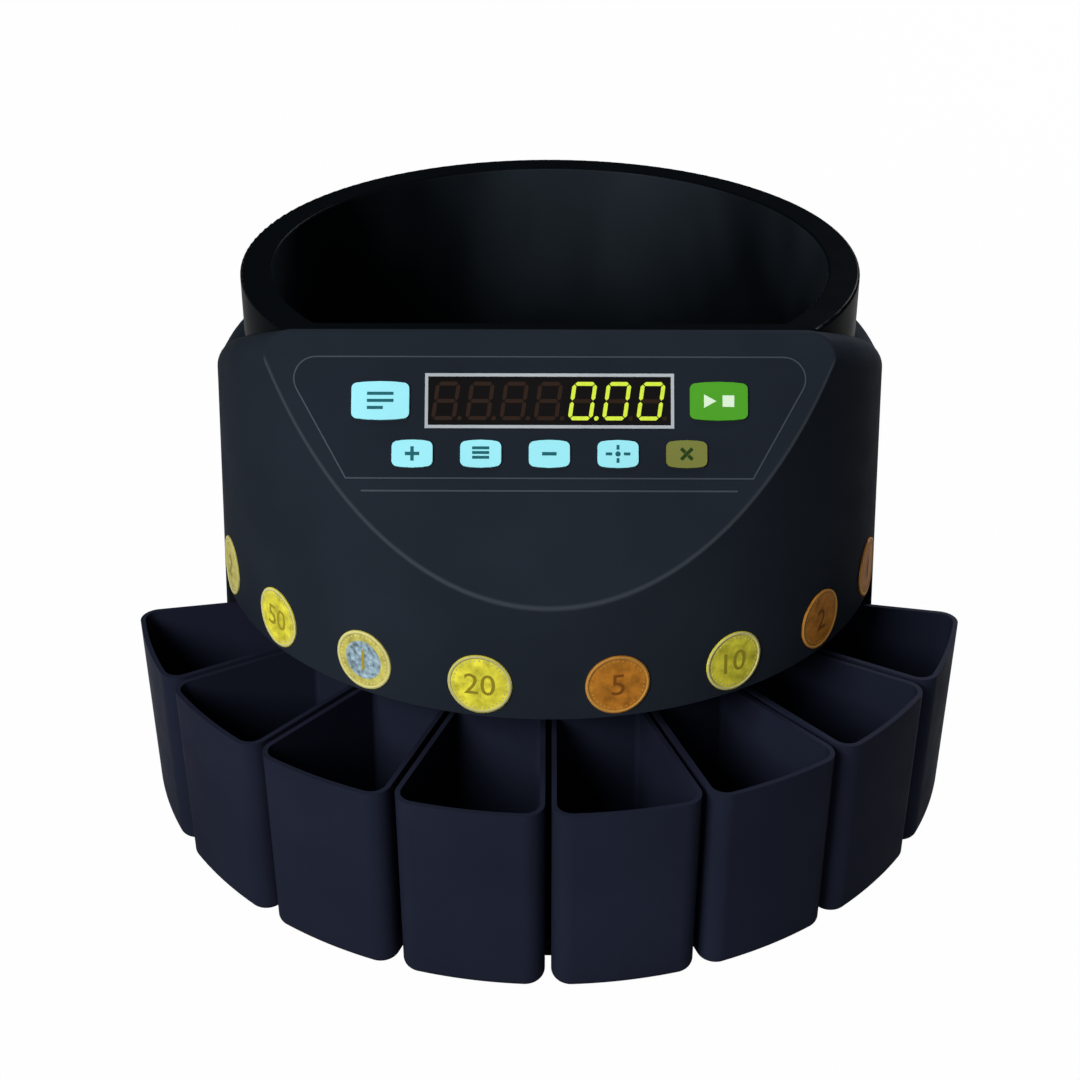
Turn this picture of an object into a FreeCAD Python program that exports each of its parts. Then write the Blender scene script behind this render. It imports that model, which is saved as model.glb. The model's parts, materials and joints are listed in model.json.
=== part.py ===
import FreeCAD, Part
import Sketcher
import os
import re

from fcgear import fcgear, involute

# Lengths are in millimetres and angles in degrees. The drum's axis is the reference for every piece:
# the front is towards -Y, angles round the drum start at the front and grow towards +X.
SIZES = (
    ("foot_height", 4.0, "rubber feet below the tray"),
    ("foot_radius", 9.0, "foot at the tray"),
    ("foot_tip_radius", 7.65, "foot on the desk"),
    ("foot_ring", 96.0, "feet from the drum's axis"),
    ("tray_thickness", 3.0, "floor of the base tray"),
    ("tray_front_radius", 158.0, "floor that carries the cups"),
    ("tray_edge_gap", 0.6, "tray to housing wall"),
    ("rib_width", 1.6, "guide ribs between the cups"),
    ("rib_height", 4.0, "guide ribs above the floor"),
    ("rib_front_inset", 2.0, "ribs short of the front edge"),
    ("rib_back_inset", 3.0, "ribs short of the back of the cups"),
    ("housing_base_radius", 148.5, "drum at its bottom edge"),
    ("housing_top_radius", 138.0, "drum at the ridge"),
    ("housing_wall", 2.5, "moulded wall"),
    ("ridge_height", 243.0, "top of the panel"),
    ("ridge_setback", 80.3, "front of the ridge before the axis"),
    ("ridge_width", 2.9, "flat top of the ridge"),
    ("panel_angle", 54.2, "panel from the horizontal"),
    ("panel_round", 1.5, "edge of the panel"),
    ("shoulder_height", 206.5, "level shoulder at the back"),
    ("shoulder_slope", 26.5, "fall of the shoulder behind the ridge"),
    ("shoulder_blend", 60.0, "hollow between slope and level"),
    ("shoulder_round", 11.0, "outer edge of the shoulder"),
    ("skirt_height", 109.6, "lower edge of the drum over the cups"),
    ("bay_angle", 161.0, "open bay for the cups"),
    ("bay_end_angle", 1.5, "floor and chute short of each end of the bay"),
    ("bay_wall_radius", 113.5, "wall behind the cups"),
    ("bay_wall_thickness", 2.5, "wall behind the cups"),
    ("bay_wall_gap", 0.4, "bay wall to the housing"),
    ("cup_pitch", 19.7, "angle from cup to cup"),
    ("cup_radius", 182.5, "front of a cup at its rim"),
    ("cup_back_radius", 115.0, "back of a cup at its rim"),
    ("cup_height", 85.2, "cup from floor to rim"),
    ("cup_wall", 2.0, "cup wall and floor"),
    ("cup_gap", 2.4, "gap between two cups"),
    ("cup_draft", 1.0, "walls from the vertical"),
    ("cup_corner", 8.0, "front corners of a cup"),
    ("cup_back_corner", 4.0, "back corners of a cup"),
    ("cup_floor_round", 4.0, "edge of a cup's floor"),
    ("cup_lift", 0.2, "cup above the tray"),
    ("hopper_radius", 127.5, "outside of the hopper"),
    ("hopper_wall", 2.5, "hopper wall"),
    ("hopper_gap", 0.4, "hopper to the opening of the housing"),
    ("rim_height", 243.0, "top of the hopper"),
    ("rim_width", 13.0, "flat rim round the bowl"),
    ("rim_front_width", 6.0, "flat rim along the front"),
    ("rim_thickness", 3.0, "flat rim"),
    ("rim_round", 1.2, "edges of the rim"),
    ("seat_height", 200.0, "ledge that carries the hopper"),
    ("seat_width", 6.0, "ledge inside the hopper's outer face"),
    ("seat_front", 40.0, "ledge ends this far before the axis"),
    ("apron_clear", 3.4, "knob to the foot of the bowl's front slope"),
    ("bowl_gap", 0.6, "bowl above the feed disc"),
    ("deck_height", 128.0, "underside of the sorting deck"),
    ("deck_thickness", 3.0, "sorting deck"),
    ("deck_radius", 134.0, "sorting deck"),
    ("deck_hub_radius", 16.0, "hub below the deck"),
    ("deck_hub_height", 14.0, "hub below the deck"),
    ("disc_gap", 0.4, "feed disc above the deck"),
    ("disc_thickness", 3.2, "feed disc"),
    ("disc_radius", 118.0, "feed disc"),
    ("pocket_ring", 99.0, "pockets and coin holes from the axis"),
    ("pocket_radius", 13.5, "pockets of the feed disc"),
    ("pocket_pitch", 60.0, "angle from pocket to pocket"),
    ("hole_clearance", 0.25, "coin hole round its coin, on the radius"),
    ("coin_one", 25.75, "widest coin, leftmost cup"),
    ("coin_two", 24.25, "second coin"),
    ("coin_three", 23.25, "third coin"),
    ("coin_four", 22.25, "fourth coin"),
    ("coin_five", 21.25, "fifth coin"),
    ("coin_six", 19.75, "sixth coin"),
    ("coin_seven", 18.75, "seventh coin"),
    ("coin_eight", 16.25, "narrowest coin, rightmost cup"),
    ("knob_radius", 15.0, "knob on the feed disc"),
    ("knob_height", 13.0, "knob on the feed disc"),
    ("knob_round", 6.0, "top edge of the knob"),
    ("spindle_radius", 5.0, "spindle of the disc"),
    ("spindle_top", 6.0, "spindle above the feed disc"),
    ("spindle_tail", 3.0, "spindle below the gear"),
    ("seat_clearance", 0.02, "fixed pieces on a shaft, on the radius"),
    ("bush_clearance", 0.05, "spindle in its bush, on the radius"),
    ("bush_wall", 4.0, "bush"),
    ("gear_module", 2.0, "teeth"),
    ("gear_teeth", 48.0, "teeth of the disc gear"),
    ("pinion_teeth", 16.0, "teeth of the motor pinion"),
    ("tooth_angle", 20.0, "pressure angle"),
    ("gear_width", 10.0, "width of the teeth"),
    ("gear_gap", 3.0, "gear below the deck's hub"),
    ("gear_spread", 0.15, "shafts further apart for play in the teeth"),
    ("gear_rim", 6.0, "solid rim below the teeth"),
    ("gear_hub_radius", 14.0, "solid hub of the gear"),
    ("gear_web", 4.0, "web between rim and hub"),
    ("motor_radius", 18.5, "motor can"),
    ("motor_length", 44.0, "motor can"),
    ("motor_shaft_radius", 3.0, "motor shaft"),
    ("motor_boss_radius", 6.0, "boss round the motor shaft"),
    ("motor_boss_height", 2.0, "boss round the motor shaft"),
    ("bracket_thickness", 3.0, "plate above the motor"),
    ("bracket_width", 72.0, "plate above the motor"),
    ("bracket_depth", 46.0, "plate above the motor"),
    ("bracket_gap", 4.0, "plate below the gear"),
    ("bracket_post_radius", 5.0, "posts of the bracket"),
    ("bracket_post_spread", 29.0, "posts from the middle"),
    ("bracket_post_back", 16.0, "posts behind the motor shaft"),
    ("motor_screw_radius", 1.5, "screws of the motor"),
    ("motor_screw_ring", 12.5, "screws of the motor from its shaft"),
    ("screw_head_radius", 3.2, "pan heads"),
    ("screw_head_height", 2.0, "pan heads"),
    ("screw_bite", 6.0, "motor screws in the can"),
    ("post_radius", 5.0, "posts below the deck"),
    ("post_ring", 73.0, "posts from the axis"),
    ("post_angle", 36.0, "posts from front and back"),
    ("deck_screw_radius", 2.0, "screws of the deck"),
    ("deck_screw_head", 4.0, "flush heads of the deck's screws"),
    ("deck_screw_depth", 12.0, "deck's screws in their posts"),
    ("chute_top_radius", 85.0, "upper edge of the chute"),
    ("chute_foot_radius", 117.5, "lower edge of the chute"),
    ("chute_thickness", 3.0, "chute, measured upright"),
    ("chute_lip", 2.5, "upright lip at the chute's foot"),
    ("chute_lift", 1.2, "chute above the cups"),
    ("sensor_width", 6.0, "coin sensors round the drum"),
    ("sensor_depth", 11.0, "coin sensors"),
    ("sensor_height", 5.5, "coin sensors"),
    ("sensor_inset", 2.0, "coin sensors inside the ring of holes"),
    ("wiper_width", 26.0, "wiper"),
    ("wiper_height", 9.0, "wiper"),
    ("wiper_reach", 5.0, "wiper behind the apron"),
    ("wiper_lift", 0.3, "wiper above the bowl's lower edge"),
    ("overlay_thickness", 0.6, "film on the panel"),
    ("overlay_top", 8.7, "film below the ridge, along the panel"),
    ("overlay_bottom", 56.5, "film's lower edge, along the panel"),
    ("overlay_top_half", 103.7, "half of the film's upper edge, before rounding"),
    ("overlay_bottom_half", 77.0, "half of the film's lower edge"),
    ("overlay_round", 9.0, "upper corners of the film"),
    ("line_width", 1.0, "groove below the film"),
    ("line_depth", 0.4, "groove below the film"),
    ("line_drop", 60.6, "groove, along the panel"),
    ("line_half", 71.0, "half of the groove"),
    ("panel_fit", 0.15, "pieces in the panel's openings"),
    ("frame_width", 94.0, "display frame"),
    ("frame_height", 21.0, "display frame"),
    ("frame_border", 1.2, "display frame"),
    ("frame_proud", 0.3, "display frame above the film"),
    ("display_drop", 26.3, "middle of the display, along the panel"),
    ("window_sink", 0.2, "window below the film"),
    ("window_thickness", 2.6, "display window"),
    ("module_width", 91.0, "display module"),
    ("module_height", 18.0, "display module"),
    ("board_depth", 9.0, "control board below the panel's face"),
    ("board_thickness", 1.6, "boards"),
    ("board_half", 77.0, "half of the control board"),
    ("board_top", 14.0, "control board, along the panel"),
    ("board_bottom", 57.0, "control board, along the panel"),
    ("large_key_width", 21.8, "large keys"),
    ("large_key_height", 13.2, "sides of the large keys"),
    ("large_key_offset", 63.8, "large keys from the middle"),
    ("large_key_drop", 26.4, "large keys, along the panel"),
    ("small_key_width", 15.4, "small keys"),
    ("small_key_height", 9.0, "sides of the small keys"),
    ("small_key_pitch", 25.8, "small keys"),
    ("small_key_drop", 46.6, "small keys, along the panel"),
    ("key_bulge", 0.8, "bowed upper and lower sides of a key"),
    ("key_corner", 2.2, "corners of a key"),
    ("key_proud", 0.9, "key above the film"),
    ("key_flange", 1.0, "flange round a key below the panel"),
    ("key_flange_thickness", 0.8, "flange round a key below the panel"),
    ("key_play", 0.1, "flange below the panel"),
    ("key_plunger_radius", 1.8, "plunger below a key"),
    ("key_travel", 0.8, "key to its switch"),
    ("key_stop_gap", 0.05, "key above its switch when pressed"),
    ("switch_size", 6.0, "key switches"),
    ("switch_height", 3.2, "key switches"),
    ("board_boss_radius", 3.0, "bosses for the control board"),
    ("board_boss_offset", 72.0, "bosses from the middle"),
    ("board_screw_radius", 1.2, "screws of the control board"),
    ("board_screw_bite", 4.5, "board screws in their bosses"),
    ("label_radius", 12.6, "coin discs on the skirt"),
    ("label_thickness", 0.5, "coin discs on the skirt"),
    ("label_height", 123.8, "middle of the coin discs"),
    ("label_first", 10.6, "first coin disc from the front"),
    ("label_pitch", 19.6, "angle from coin disc to coin disc"),
    ("recess_width", 96.0, "rear recess"),
    ("recess_low", 22.0, "lower side of the rear recess"),
    ("recess_high", 62.0, "upper side of the rear recess"),
    ("recess_floor", 136.0, "floor of the rear recess behind the axis"),
    ("inlet_offset", 24.0, "inlet from the middle"),
    ("inlet_width", 27.0, "inlet body"),
    ("inlet_height", 20.0, "inlet body"),
    ("inlet_depth", 20.0, "inlet body"),
    ("inlet_wall", 2.0, "inlet body"),
    ("inlet_flange", 3.0, "flange round inlet and switch"),
    ("flange_thickness", 1.6, "flange round inlet and switch"),
    ("pin_width", 2.0, "inlet pins"),
    ("pin_height", 4.0, "inlet pins"),
    ("pin_length", 13.0, "inlet pins"),
    ("pin_pitch", 7.0, "inlet pins"),
    ("switch_body_width", 13.0, "mains switch"),
    ("switch_body_height", 20.0, "mains switch"),
    ("switch_body_depth", 16.0, "mains switch"),
    ("switch_body_wall", 1.6, "mains switch"),
    ("rocker_gap", 0.3, "rocker in its frame"),
    ("rocker_radius", 11.5, "curved face of the rocker"),
    ("rocker_height", 12.6, "rocker"),
    ("rocker_pivot_depth", 9.0, "pivot below the flange's face"),
    ("rocker_pin_radius", 1.5, "pivot pin"),
    ("rocker_root", 3.0, "rocker behind its pivot"),
    ("fit_gap", 0.15, "rear pieces in the housing's openings"),
    ("boss_radius", 6.0, "screw bosses of the housing"),
    ("boss_ring", 139.5, "screw bosses from the axis"),
    ("boss_top", 30.0, "screw bosses of the housing"),
    ("boss_side_angle", 100.0, "screw bosses at the sides"),
    ("boss_back_angle", 150.0, "screw bosses at the back"),
    ("housing_screw_radius", 1.6, "screws of the housing"),
    ("housing_screw_bite", 14.0, "housing screws in their bosses"),
    ("screw_clearance", 0.3, "screws in the tray's holes, on the radius"),
    ("supply_width", 96.0, "supply board"),
    ("supply_depth", 36.0, "supply board"),
    ("supply_front", 84.0, "supply board behind the axis"),
    ("standoff_height", 5.0, "standoffs of the supply board"),
    ("standoff_radius", 3.0, "standoffs of the supply board"),
    ("standoff_inset", 5.0, "standoffs from the board's edges"),
    ("transformer_width", 42.0, "transformer"),
    ("transformer_depth", 30.0, "transformer"),
    ("transformer_height", 34.0, "transformer"),
    ("transformer_offset", 24.0, "transformer from the middle"),
    ("vent_width", 3.0, "vent slots at the back"),
    ("vent_low", 80.0, "vent slots at the back"),
    ("vent_high", 130.0, "vent slots at the back"),
    ("vent_pitch", 5.0, "angle from slot to slot"),
    ("vent_cut", 25.0, "depth of the cut for a slot"),
)

# Heights and places that follow from the sizes.
DERIVED = {
    "axis_y": "(cup_radius - housing_base_radius) / 2",
    "reach": "2 * cup_radius",
    "tray_top": "foot_height + tray_thickness",
    "rib_length": "tray_front_radius - cup_back_radius - rib_front_inset - rib_back_inset",
    "cup_floor": "tray_top + cup_lift",
    "cup_top": "cup_floor + cup_height",
    "cup_taper": "cup_height * tan(cup_draft)",
    "housing_draft": "(housing_base_radius - housing_top_radius) / (ridge_height - foot_height)",
    "hopper_front": "ridge_setback - ridge_width",
    "deck_top": "deck_height + deck_thickness",
    "disc_low": "deck_top + disc_gap",
    "disc_top": "disc_low + disc_thickness",
    "bowl_low": "disc_top + bowl_gap",
    "bowl_radius": "hopper_radius - rim_width",
    "hub_low": "deck_height - deck_hub_height",
    "gear_top": "hub_low - gear_gap",
    "gear_low": "gear_top - gear_width",
    "gear_axes": "gear_module * (gear_teeth + pinion_teeth) / 2 + gear_spread",
    "bracket_low": "gear_low - bracket_gap - bracket_thickness",
    "chute_low": "cup_top + chute_lift",
    "bore_radius": "spindle_radius + seat_clearance",
    "bush_radius": "spindle_radius + bush_clearance + bush_wall",
    "key_flange_top": "0 - housing_wall - key_play",
    "key_flange_low": "key_flange_top - key_flange_thickness",
    "switch_top": "switch_height - board_depth",
    "key_low": "switch_top + key_travel + key_stop_gap",
    "board_back": "0 - board_depth - board_thickness",
    "window_top": "0 - window_sink",
    "module_top": "window_top - window_thickness",
    "hopper_face": "hopper_front - hopper_gap",
    "apron_foot": "0 - knob_radius - apron_clear",
    "apron_angle": "atan((rim_height - bowl_low) / (hopper_face - rim_front_width + apron_foot))",
    "recess_middle": "(recess_low + recess_high) / 2",
    "rocker_pivot_y": "recess_floor + flange_thickness - rocker_pivot_depth",
    "supply_low": "tray_top + standoff_height",
    "supply_top": "supply_low + board_thickness",
}
ALIASES = [name for name, value, note in SIZES]
WORD = re.compile(r"[a-z][a-z_0-9]*")

TOUCH = 0.01
UPRIGHT_SHARE = 0.8
# The top of a bowed side lies this share of its half off the middle, so its distance is never zero.
BOW_SHIFT = 0.01

UP = FreeCAD.Vector(0, 0, 1)
SIDEWAYS = FreeCAD.Vector(1, 0, 0)

doc = FreeCAD.newDocument("coin_sorter")
sheet = doc.addObject("Spreadsheet::Sheet", "Sizes")
for row, (name, value, note) in enumerate(SIZES, start=1):
    sheet.set(f"A{row}", name)
    sheet.set(f"B{row}", str(value))
    sheet.set(f"C{row}", note)
    sheet.setAlias(f"B{row}", name)
doc.recompute()

pieces = []


def size(name):
    return float(getattr(sheet, name))


def expression(text):
    """The formula with every size as a reference to its cell."""

    def written_out(match):
        word = match.group()
        if word in DERIVED:
            return "(" + expression(DERIVED[word]) + ")"
        if word in ALIASES:
            return "Sizes." + word
        return word

    return WORD.sub(written_out, text)


def bind(obj, **formulas):
    for path, text in formulas.items():
        obj.setExpression(path, expression(text))


def set_place(obj, x, y, z):
    """x, y and z from the drum's axis at desk level."""
    obj.setExpression("Placement.Base.x", expression(x))
    obj.setExpression("Placement.Base.y", expression(f"axis_y + ({y})"))
    obj.setExpression("Placement.Base.z", expression(z))


def set_turn(obj, axis, angle):
    obj.Placement = FreeCAD.Placement(FreeCAD.Vector(), FreeCAD.Rotation(axis, 1))
    obj.setExpression("Placement.Rotation.Angle", expression(angle))


def at(obj, x="0", y="0", z="0"):
    set_place(obj, x, y, z)
    return obj


def turned(obj, angle, x="0", y="0", z="0"):
    """The place (x, y, z) before the drum's front, swung round the axis by the angle."""
    set_turn(obj, UP, angle)
    set_place(
        obj,
        f"({x}) * cos({angle}) - ({y}) * sin({angle})",
        f"({x}) * sin({angle}) + ({y}) * cos({angle})",
        z,
    )
    return obj


def on_panel(obj, x="0", along="0", out="0"):
    """x across the panel, along it upwards from the ridge, out of its face."""
    set_turn(obj, SIDEWAYS, "panel_angle")
    set_place(
        obj,
        x,
        f"({along}) * cos(panel_angle) - ({out}) * sin(panel_angle) - ridge_setback",
        f"ridge_height + ({along}) * sin(panel_angle) + ({out}) * cos(panel_angle)",
    )
    return obj


def box(name, length, width, height):
    obj = doc.addObject("Part::Box", name)
    bind(obj, Length=length, Width=width, Height=height)
    return obj


def cylinder(name, radius, height):
    obj = doc.addObject("Part::Cylinder", name)
    bind(obj, Radius=radius, Height=height)
    return obj


def sector(name, radius, height, angle):
    """A slice of a cylinder that starts towards +X."""
    obj = cylinder(name, radius, height)
    bind(obj, Angle=angle)
    return obj


def cone(name, low, high, height):
    obj = doc.addObject("Part::Cone", name)
    bind(obj, Radius1=low, Radius2=high, Height=height)
    return obj


def fuse(name, *shapes):
    obj = doc.addObject("Part::MultiFuse", name)
    obj.Shapes = list(shapes)
    obj.Refine = True
    return obj


def common(name, *shapes):
    obj = doc.addObject("Part::MultiCommon", name)
    obj.Shapes = list(shapes)
    return obj


def group(name, *shapes):
    obj = doc.addObject("Part::Compound", name)
    obj.Links = list(shapes)
    return obj


def cut(name, base, *tools):
    obj = doc.addObject("Part::Cut", name)
    obj.Base = base
    obj.Tool = tools[0] if len(tools) == 1 else group(name + "_tools", *tools)
    obj.Refine = True
    return obj


def rounded(name, base, *choices):
    """Edges of the base that pass a test, rounded: each choice is a test and a radius."""
    doc.recompute()
    obj = doc.addObject("Part::Fillet", name)
    obj.Base = base
    edges = []
    for test, radius in choices:
        for index, edge in enumerate(base.Shape.Edges, start=1):
            if test(edge):
                edges.append((index, radius, radius))
    obj.Edges = edges
    return obj


def piece(label, obj):
    obj.Label = label
    pieces.append(obj)
    return obj


def plane_of(body, role):
    return next(feature for feature in body.Origin.OriginFeatures if feature.Role == role)


def body_named(name):
    return doc.addObject("PartDesign::Body", name)


def sketch_in(body, name, role):
    sketch = body.newObject("Sketcher::SketchObject", name)
    sketch.AttachmentSupport = [(plane_of(body, role), "")]
    sketch.MapMode = "FlatFace"
    return sketch


def fix_point(sketch, geometry, end, x, y):
    """One end of a line at (x, y) from the sketch's origin."""
    for kind, text in (("DistanceX", x), ("DistanceY", y)):
        index = sketch.addConstraint(Sketcher.Constraint(kind, -1, 1, geometry, end, 1.0))
        sketch.setExpression(f"Constraints[{index}]", expression(text))


def polygon(body, name, role, corners):
    """A closed outline with every corner at its own two formulas."""
    sketch = sketch_in(body, name, role)
    count = len(corners)
    spots = [FreeCAD.Vector(10, 0, 0)]
    for step in range(1, count):
        spots.append(FreeCAD.Rotation(UP, 360.0 * step / count).multVec(spots[0]))
    for step in range(count):
        sketch.addGeometry(Part.LineSegment(spots[step], spots[(step + 1) % count]))
    for step in range(count):
        sketch.addConstraint(Sketcher.Constraint("Coincident", step, 2, (step + 1) % count, 1))
    for step, (x, y) in enumerate(corners):
        fix_point(sketch, step, 1, x, y)
    return sketch


def pad(body, name, sketch, length):
    feature = body.newObject("PartDesign::Pad", name)
    feature.Profile = sketch
    bind(feature, Length=length)
    return feature


def revolved(name, corners, angle="360"):
    """A turned body; each corner is a radius and a height. A part turn is centred on the front."""
    body = body_named(name)
    sketch = polygon(body, name + "_outline", "XZ_Plane", corners)
    feature = body.newObject("PartDesign::Revolution", name + "_turn")
    feature.Profile = sketch
    feature.ReferenceAxis = (sketch, ["V_Axis"])
    feature.Midplane = True
    bind(feature, Angle=angle)
    set_turn(body, UP, "-90")
    return body


def radius_at(height):
    """Formula for the drum's outer radius at a height."""
    return f"housing_base_radius - housing_draft * (({height}) - foot_height)"


def housing_form(name, inset):
    """The drum with its panel and falling shoulder, every face moved inwards by the inset."""
    drum = cone(
        name + "_drum",
        f"housing_base_radius - ({inset})",
        f"housing_top_radius - ({inset}) * (1 - housing_draft)",
        f"ridge_height - foot_height - ({inset})",
    )
    at(drum, z="foot_height")
    above_panel = on_panel(
        box(name + "_above_panel", "reach", "reach", "reach"), "-reach / 2", "-reach * 3 / 4", f"-({inset})"
    )
    above_slope = box(name + "_above_slope", "reach", "reach", "reach")
    set_turn(above_slope, SIDEWAYS, "-shoulder_slope")
    set_place(
        above_slope,
        "-reach / 2",
        f"-hopper_front - reach / 4 * cos(shoulder_slope) - ({inset}) * sin(shoulder_slope)",
        f"ridge_height + reach / 4 * sin(shoulder_slope) - ({inset}) * cos(shoulder_slope)",
    )
    above_level = box(name + "_above_level", "reach", "reach * 2", "reach")
    at(above_level, "-reach / 2", "-reach", f"shoulder_height - ({inset})")
    wedge = common(name + "_wedge", above_slope, above_level)
    doc.recompute()
    low = wedge.Shape.BoundBox.ZMin
    lowest = [edge for edge in wedge.Shape.Edges if edge.BoundBox.ZMax < low + TOUCH]
    level = [edge for edge in lowest if edge.BoundBox.YLength < TOUCH]
    valley = min(level, key=lambda edge: edge.CenterOfMass.y)
    hollow = rounded(name + "_hollow", wedge, (valley.isSame, size("shoulder_blend")))
    return cut(name, drum, above_panel, hollow)


def drum_axis_y():
    return (size("cup_radius") - size("housing_base_radius")) / 2


def on_drum(edge, inset=0.0):
    """Whether the middle of the edge lies on the drum's face, moved inwards by the inset."""
    middle = edge.valueAt((edge.FirstParameter + edge.LastParameter) / 2)
    draft = (size("housing_base_radius") - size("housing_top_radius")) / (
        size("ridge_height") - size("foot_height")
    )
    radius = size("housing_base_radius") - inset - draft * (middle.z - size("foot_height"))
    return abs((middle.x**2 + (middle.y - drum_axis_y()) ** 2) ** 0.5 - radius) < TOUCH


def shoulder_edges(inset):
    """Test for the shoulder's edges of the form that is moved inwards by the inset."""

    def is_shoulder_edge(edge):
        box_of_edge = edge.BoundBox
        behind_ridge = box_of_edge.YMin > outer_form_ridge_y() - TOUCH
        above = box_of_edge.ZMin > size("shoulder_height") - inset - TOUCH
        return on_drum(edge, inset) and behind_ridge and above

    return is_shoulder_edge


def is_panel_edge(edge):
    box_of_edge = edge.BoundBox
    before_ridge = box_of_edge.YMax < outer_form_ridge_y() + size("ridge_width") / 2
    return on_drum(edge) and before_ridge and box_of_edge.ZMin > size("foot_height") + TOUCH


def outer_form_ridge_y():
    """The back of the ridge's flat top."""
    return drum_axis_y() - size("ridge_setback") + size("ridge_width")


def barrel_body(name, width, height, bulge, thick, corner):
    """A block with straight sides, bowed top and bottom and round corners, standing on the panel frame."""
    body = body_named(name + "_body")
    half, tall = f"({width}) / 2", f"({height}) / 2"
    corners = (
        (f"-({half})", f"-({tall})"),
        (f"-({half}) / 2", f"-({tall}) - ({bulge}) * 3 / 4"),
        (f"{BOW_SHIFT} * ({half})", f"-({tall}) - ({bulge})"),
        (f"({half}) / 2", f"-({tall}) - ({bulge}) * 3 / 4"),
        (half, f"-({tall})"),
        (half, tall),
        (f"({half}) / 2", f"({tall}) + ({bulge}) * 3 / 4"),
        (f"{BOW_SHIFT} * ({half})", f"({tall}) + ({bulge})"),
        (f"-({half}) / 2", f"({tall}) + ({bulge}) * 3 / 4"),
        (f"-({half})", tall),
    )
    sketch = polygon(body, name + "_outline", "XY_Plane", corners)
    pad(body, name + "_block", sketch, thick)
    doc.recompute()
    side = body.Shape.BoundBox.XMax

    def is_corner(edge):
        bounds = edge.BoundBox
        return bounds.XLength < TOUCH and bounds.YLength < TOUCH and abs(bounds.Center.x) > side - TOUCH

    return rounded(name, body, (is_corner, corner))


def ring(name, outer, inner, height):
    return cut(name, cylinder(name + "_outer", outer, height), cylinder(name + "_inner", inner, height))


def cup_form(name, inset, low):
    """The room between two drafted walls round the axis and the bounds to the next cups."""
    front = cone(
        name + "_front", f"cup_radius - cup_taper - ({inset})", f"cup_radius - ({inset})", "cup_height"
    )
    back = cone(
        name + "_back",
        f"cup_back_radius + cup_taper + ({inset})",
        f"cup_back_radius + ({inset})",
        "cup_height",
    )
    at(front, z=low)
    at(back, z=low)
    right = turned(
        box(name + "_right", "reach", "reach", "cup_height"),
        "cup_pitch / 2",
        f"-reach - cup_gap / 2 - ({inset})",
        "-reach",
        low,
    )
    left = turned(
        box(name + "_left", "reach", "reach", "cup_height"),
        "-cup_pitch / 2",
        f"cup_gap / 2 + ({inset})",
        "-reach",
        low,
    )
    return common(name, cut(name + "_walls", front, back), right, left)


def make_cup():
    """One cup at the middle of the front: rounded corners, hollow from the rim."""
    block = cup_form("cup_block", "0", "cup_floor")
    hollow = cup_form("cup_hollow", "cup_wall", "cup_floor + cup_wall")
    outside = rounded("cup_outside", block, *cup_rounds(block, 0.0))
    inside = rounded("cup_inside", hollow, *cup_rounds(hollow, size("cup_wall")))
    return cut("cup_shape", outside, inside)


def cup_rounds(form, inset):
    """Tests and radii for the upright corners and the floor's edge of a cup or of its hollow."""
    doc.recompute()
    low = form.Shape.BoundBox.ZMin
    middle = form.Shape.BoundBox.Center.y

    def is_upright(edge):
        return edge.BoundBox.ZLength > size("cup_height") * UPRIGHT_SHARE

    return (
        (lambda edge: is_upright(edge) and edge.CenterOfMass.y < middle, size("cup_corner") - inset),
        (lambda edge: is_upright(edge) and edge.CenterOfMass.y > middle, size("cup_back_corner") - inset),
        (lambda edge: edge.BoundBox.ZMax < low + TOUCH, size("cup_floor_round") - inset),
    )


def half_turn_sector(name, radius, height, angle, low):
    """A slice of a cylinder, centred on the front."""
    slice_of = sector(name, radius, height, angle)
    return turned(slice_of, f"-90 - ({angle}) / 2", z=low)


def swung(name, form, angle):
    """A copy of a form made at the front, swung round the drum's axis."""
    copy = group(name, form)
    set_turn(copy, UP, angle)
    set_place(copy, f"axis_y * sin({angle})", f"-axis_y * cos({angle})", "0")
    return copy


KEYS = (
    ("key_list", "-large_key_offset", "-large_key_drop", "large_key_width", "large_key_height"),
    ("key_start", "large_key_offset", "-large_key_drop", "large_key_width", "large_key_height"),
    ("key_plus", "-2 * small_key_pitch", "-small_key_drop", "small_key_width", "small_key_height"),
    ("key_stack", "-small_key_pitch", "-small_key_drop", "small_key_width", "small_key_height"),
    ("key_minus", "0", "-small_key_drop", "small_key_width", "small_key_height"),
    ("key_set", "small_key_pitch", "-small_key_drop", "small_key_width", "small_key_height"),
    ("key_clear", "2 * small_key_pitch", "-small_key_drop", "small_key_width", "small_key_height"),
)
BOARD_BOSSES = (
    "-board_boss_offset", "-small_key_pitch * 3 / 2", "small_key_pitch * 3 / 2", "board_boss_offset"
)
SCREW_BOSSES = ("-boss_side_angle", "-boss_back_angle", "boss_back_angle", "boss_side_angle")
POST_ANGLES = ("-180 + post_angle", "-post_angle", "post_angle", "180 - post_angle")
COINS = (
    "coin_one", "coin_two", "coin_three", "coin_four", "coin_five", "coin_six", "coin_seven", "coin_eight",
)


def key_opening(name, x, along, width, height, low, thick):
    opening = barrel_body(
        name,
        f"{width} + 2 * panel_fit",
        f"{height} + 2 * panel_fit",
        "key_bulge",
        thick,
        size("key_corner") + size("panel_fit"),
    )
    return on_panel(opening, x, along, low)


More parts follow.
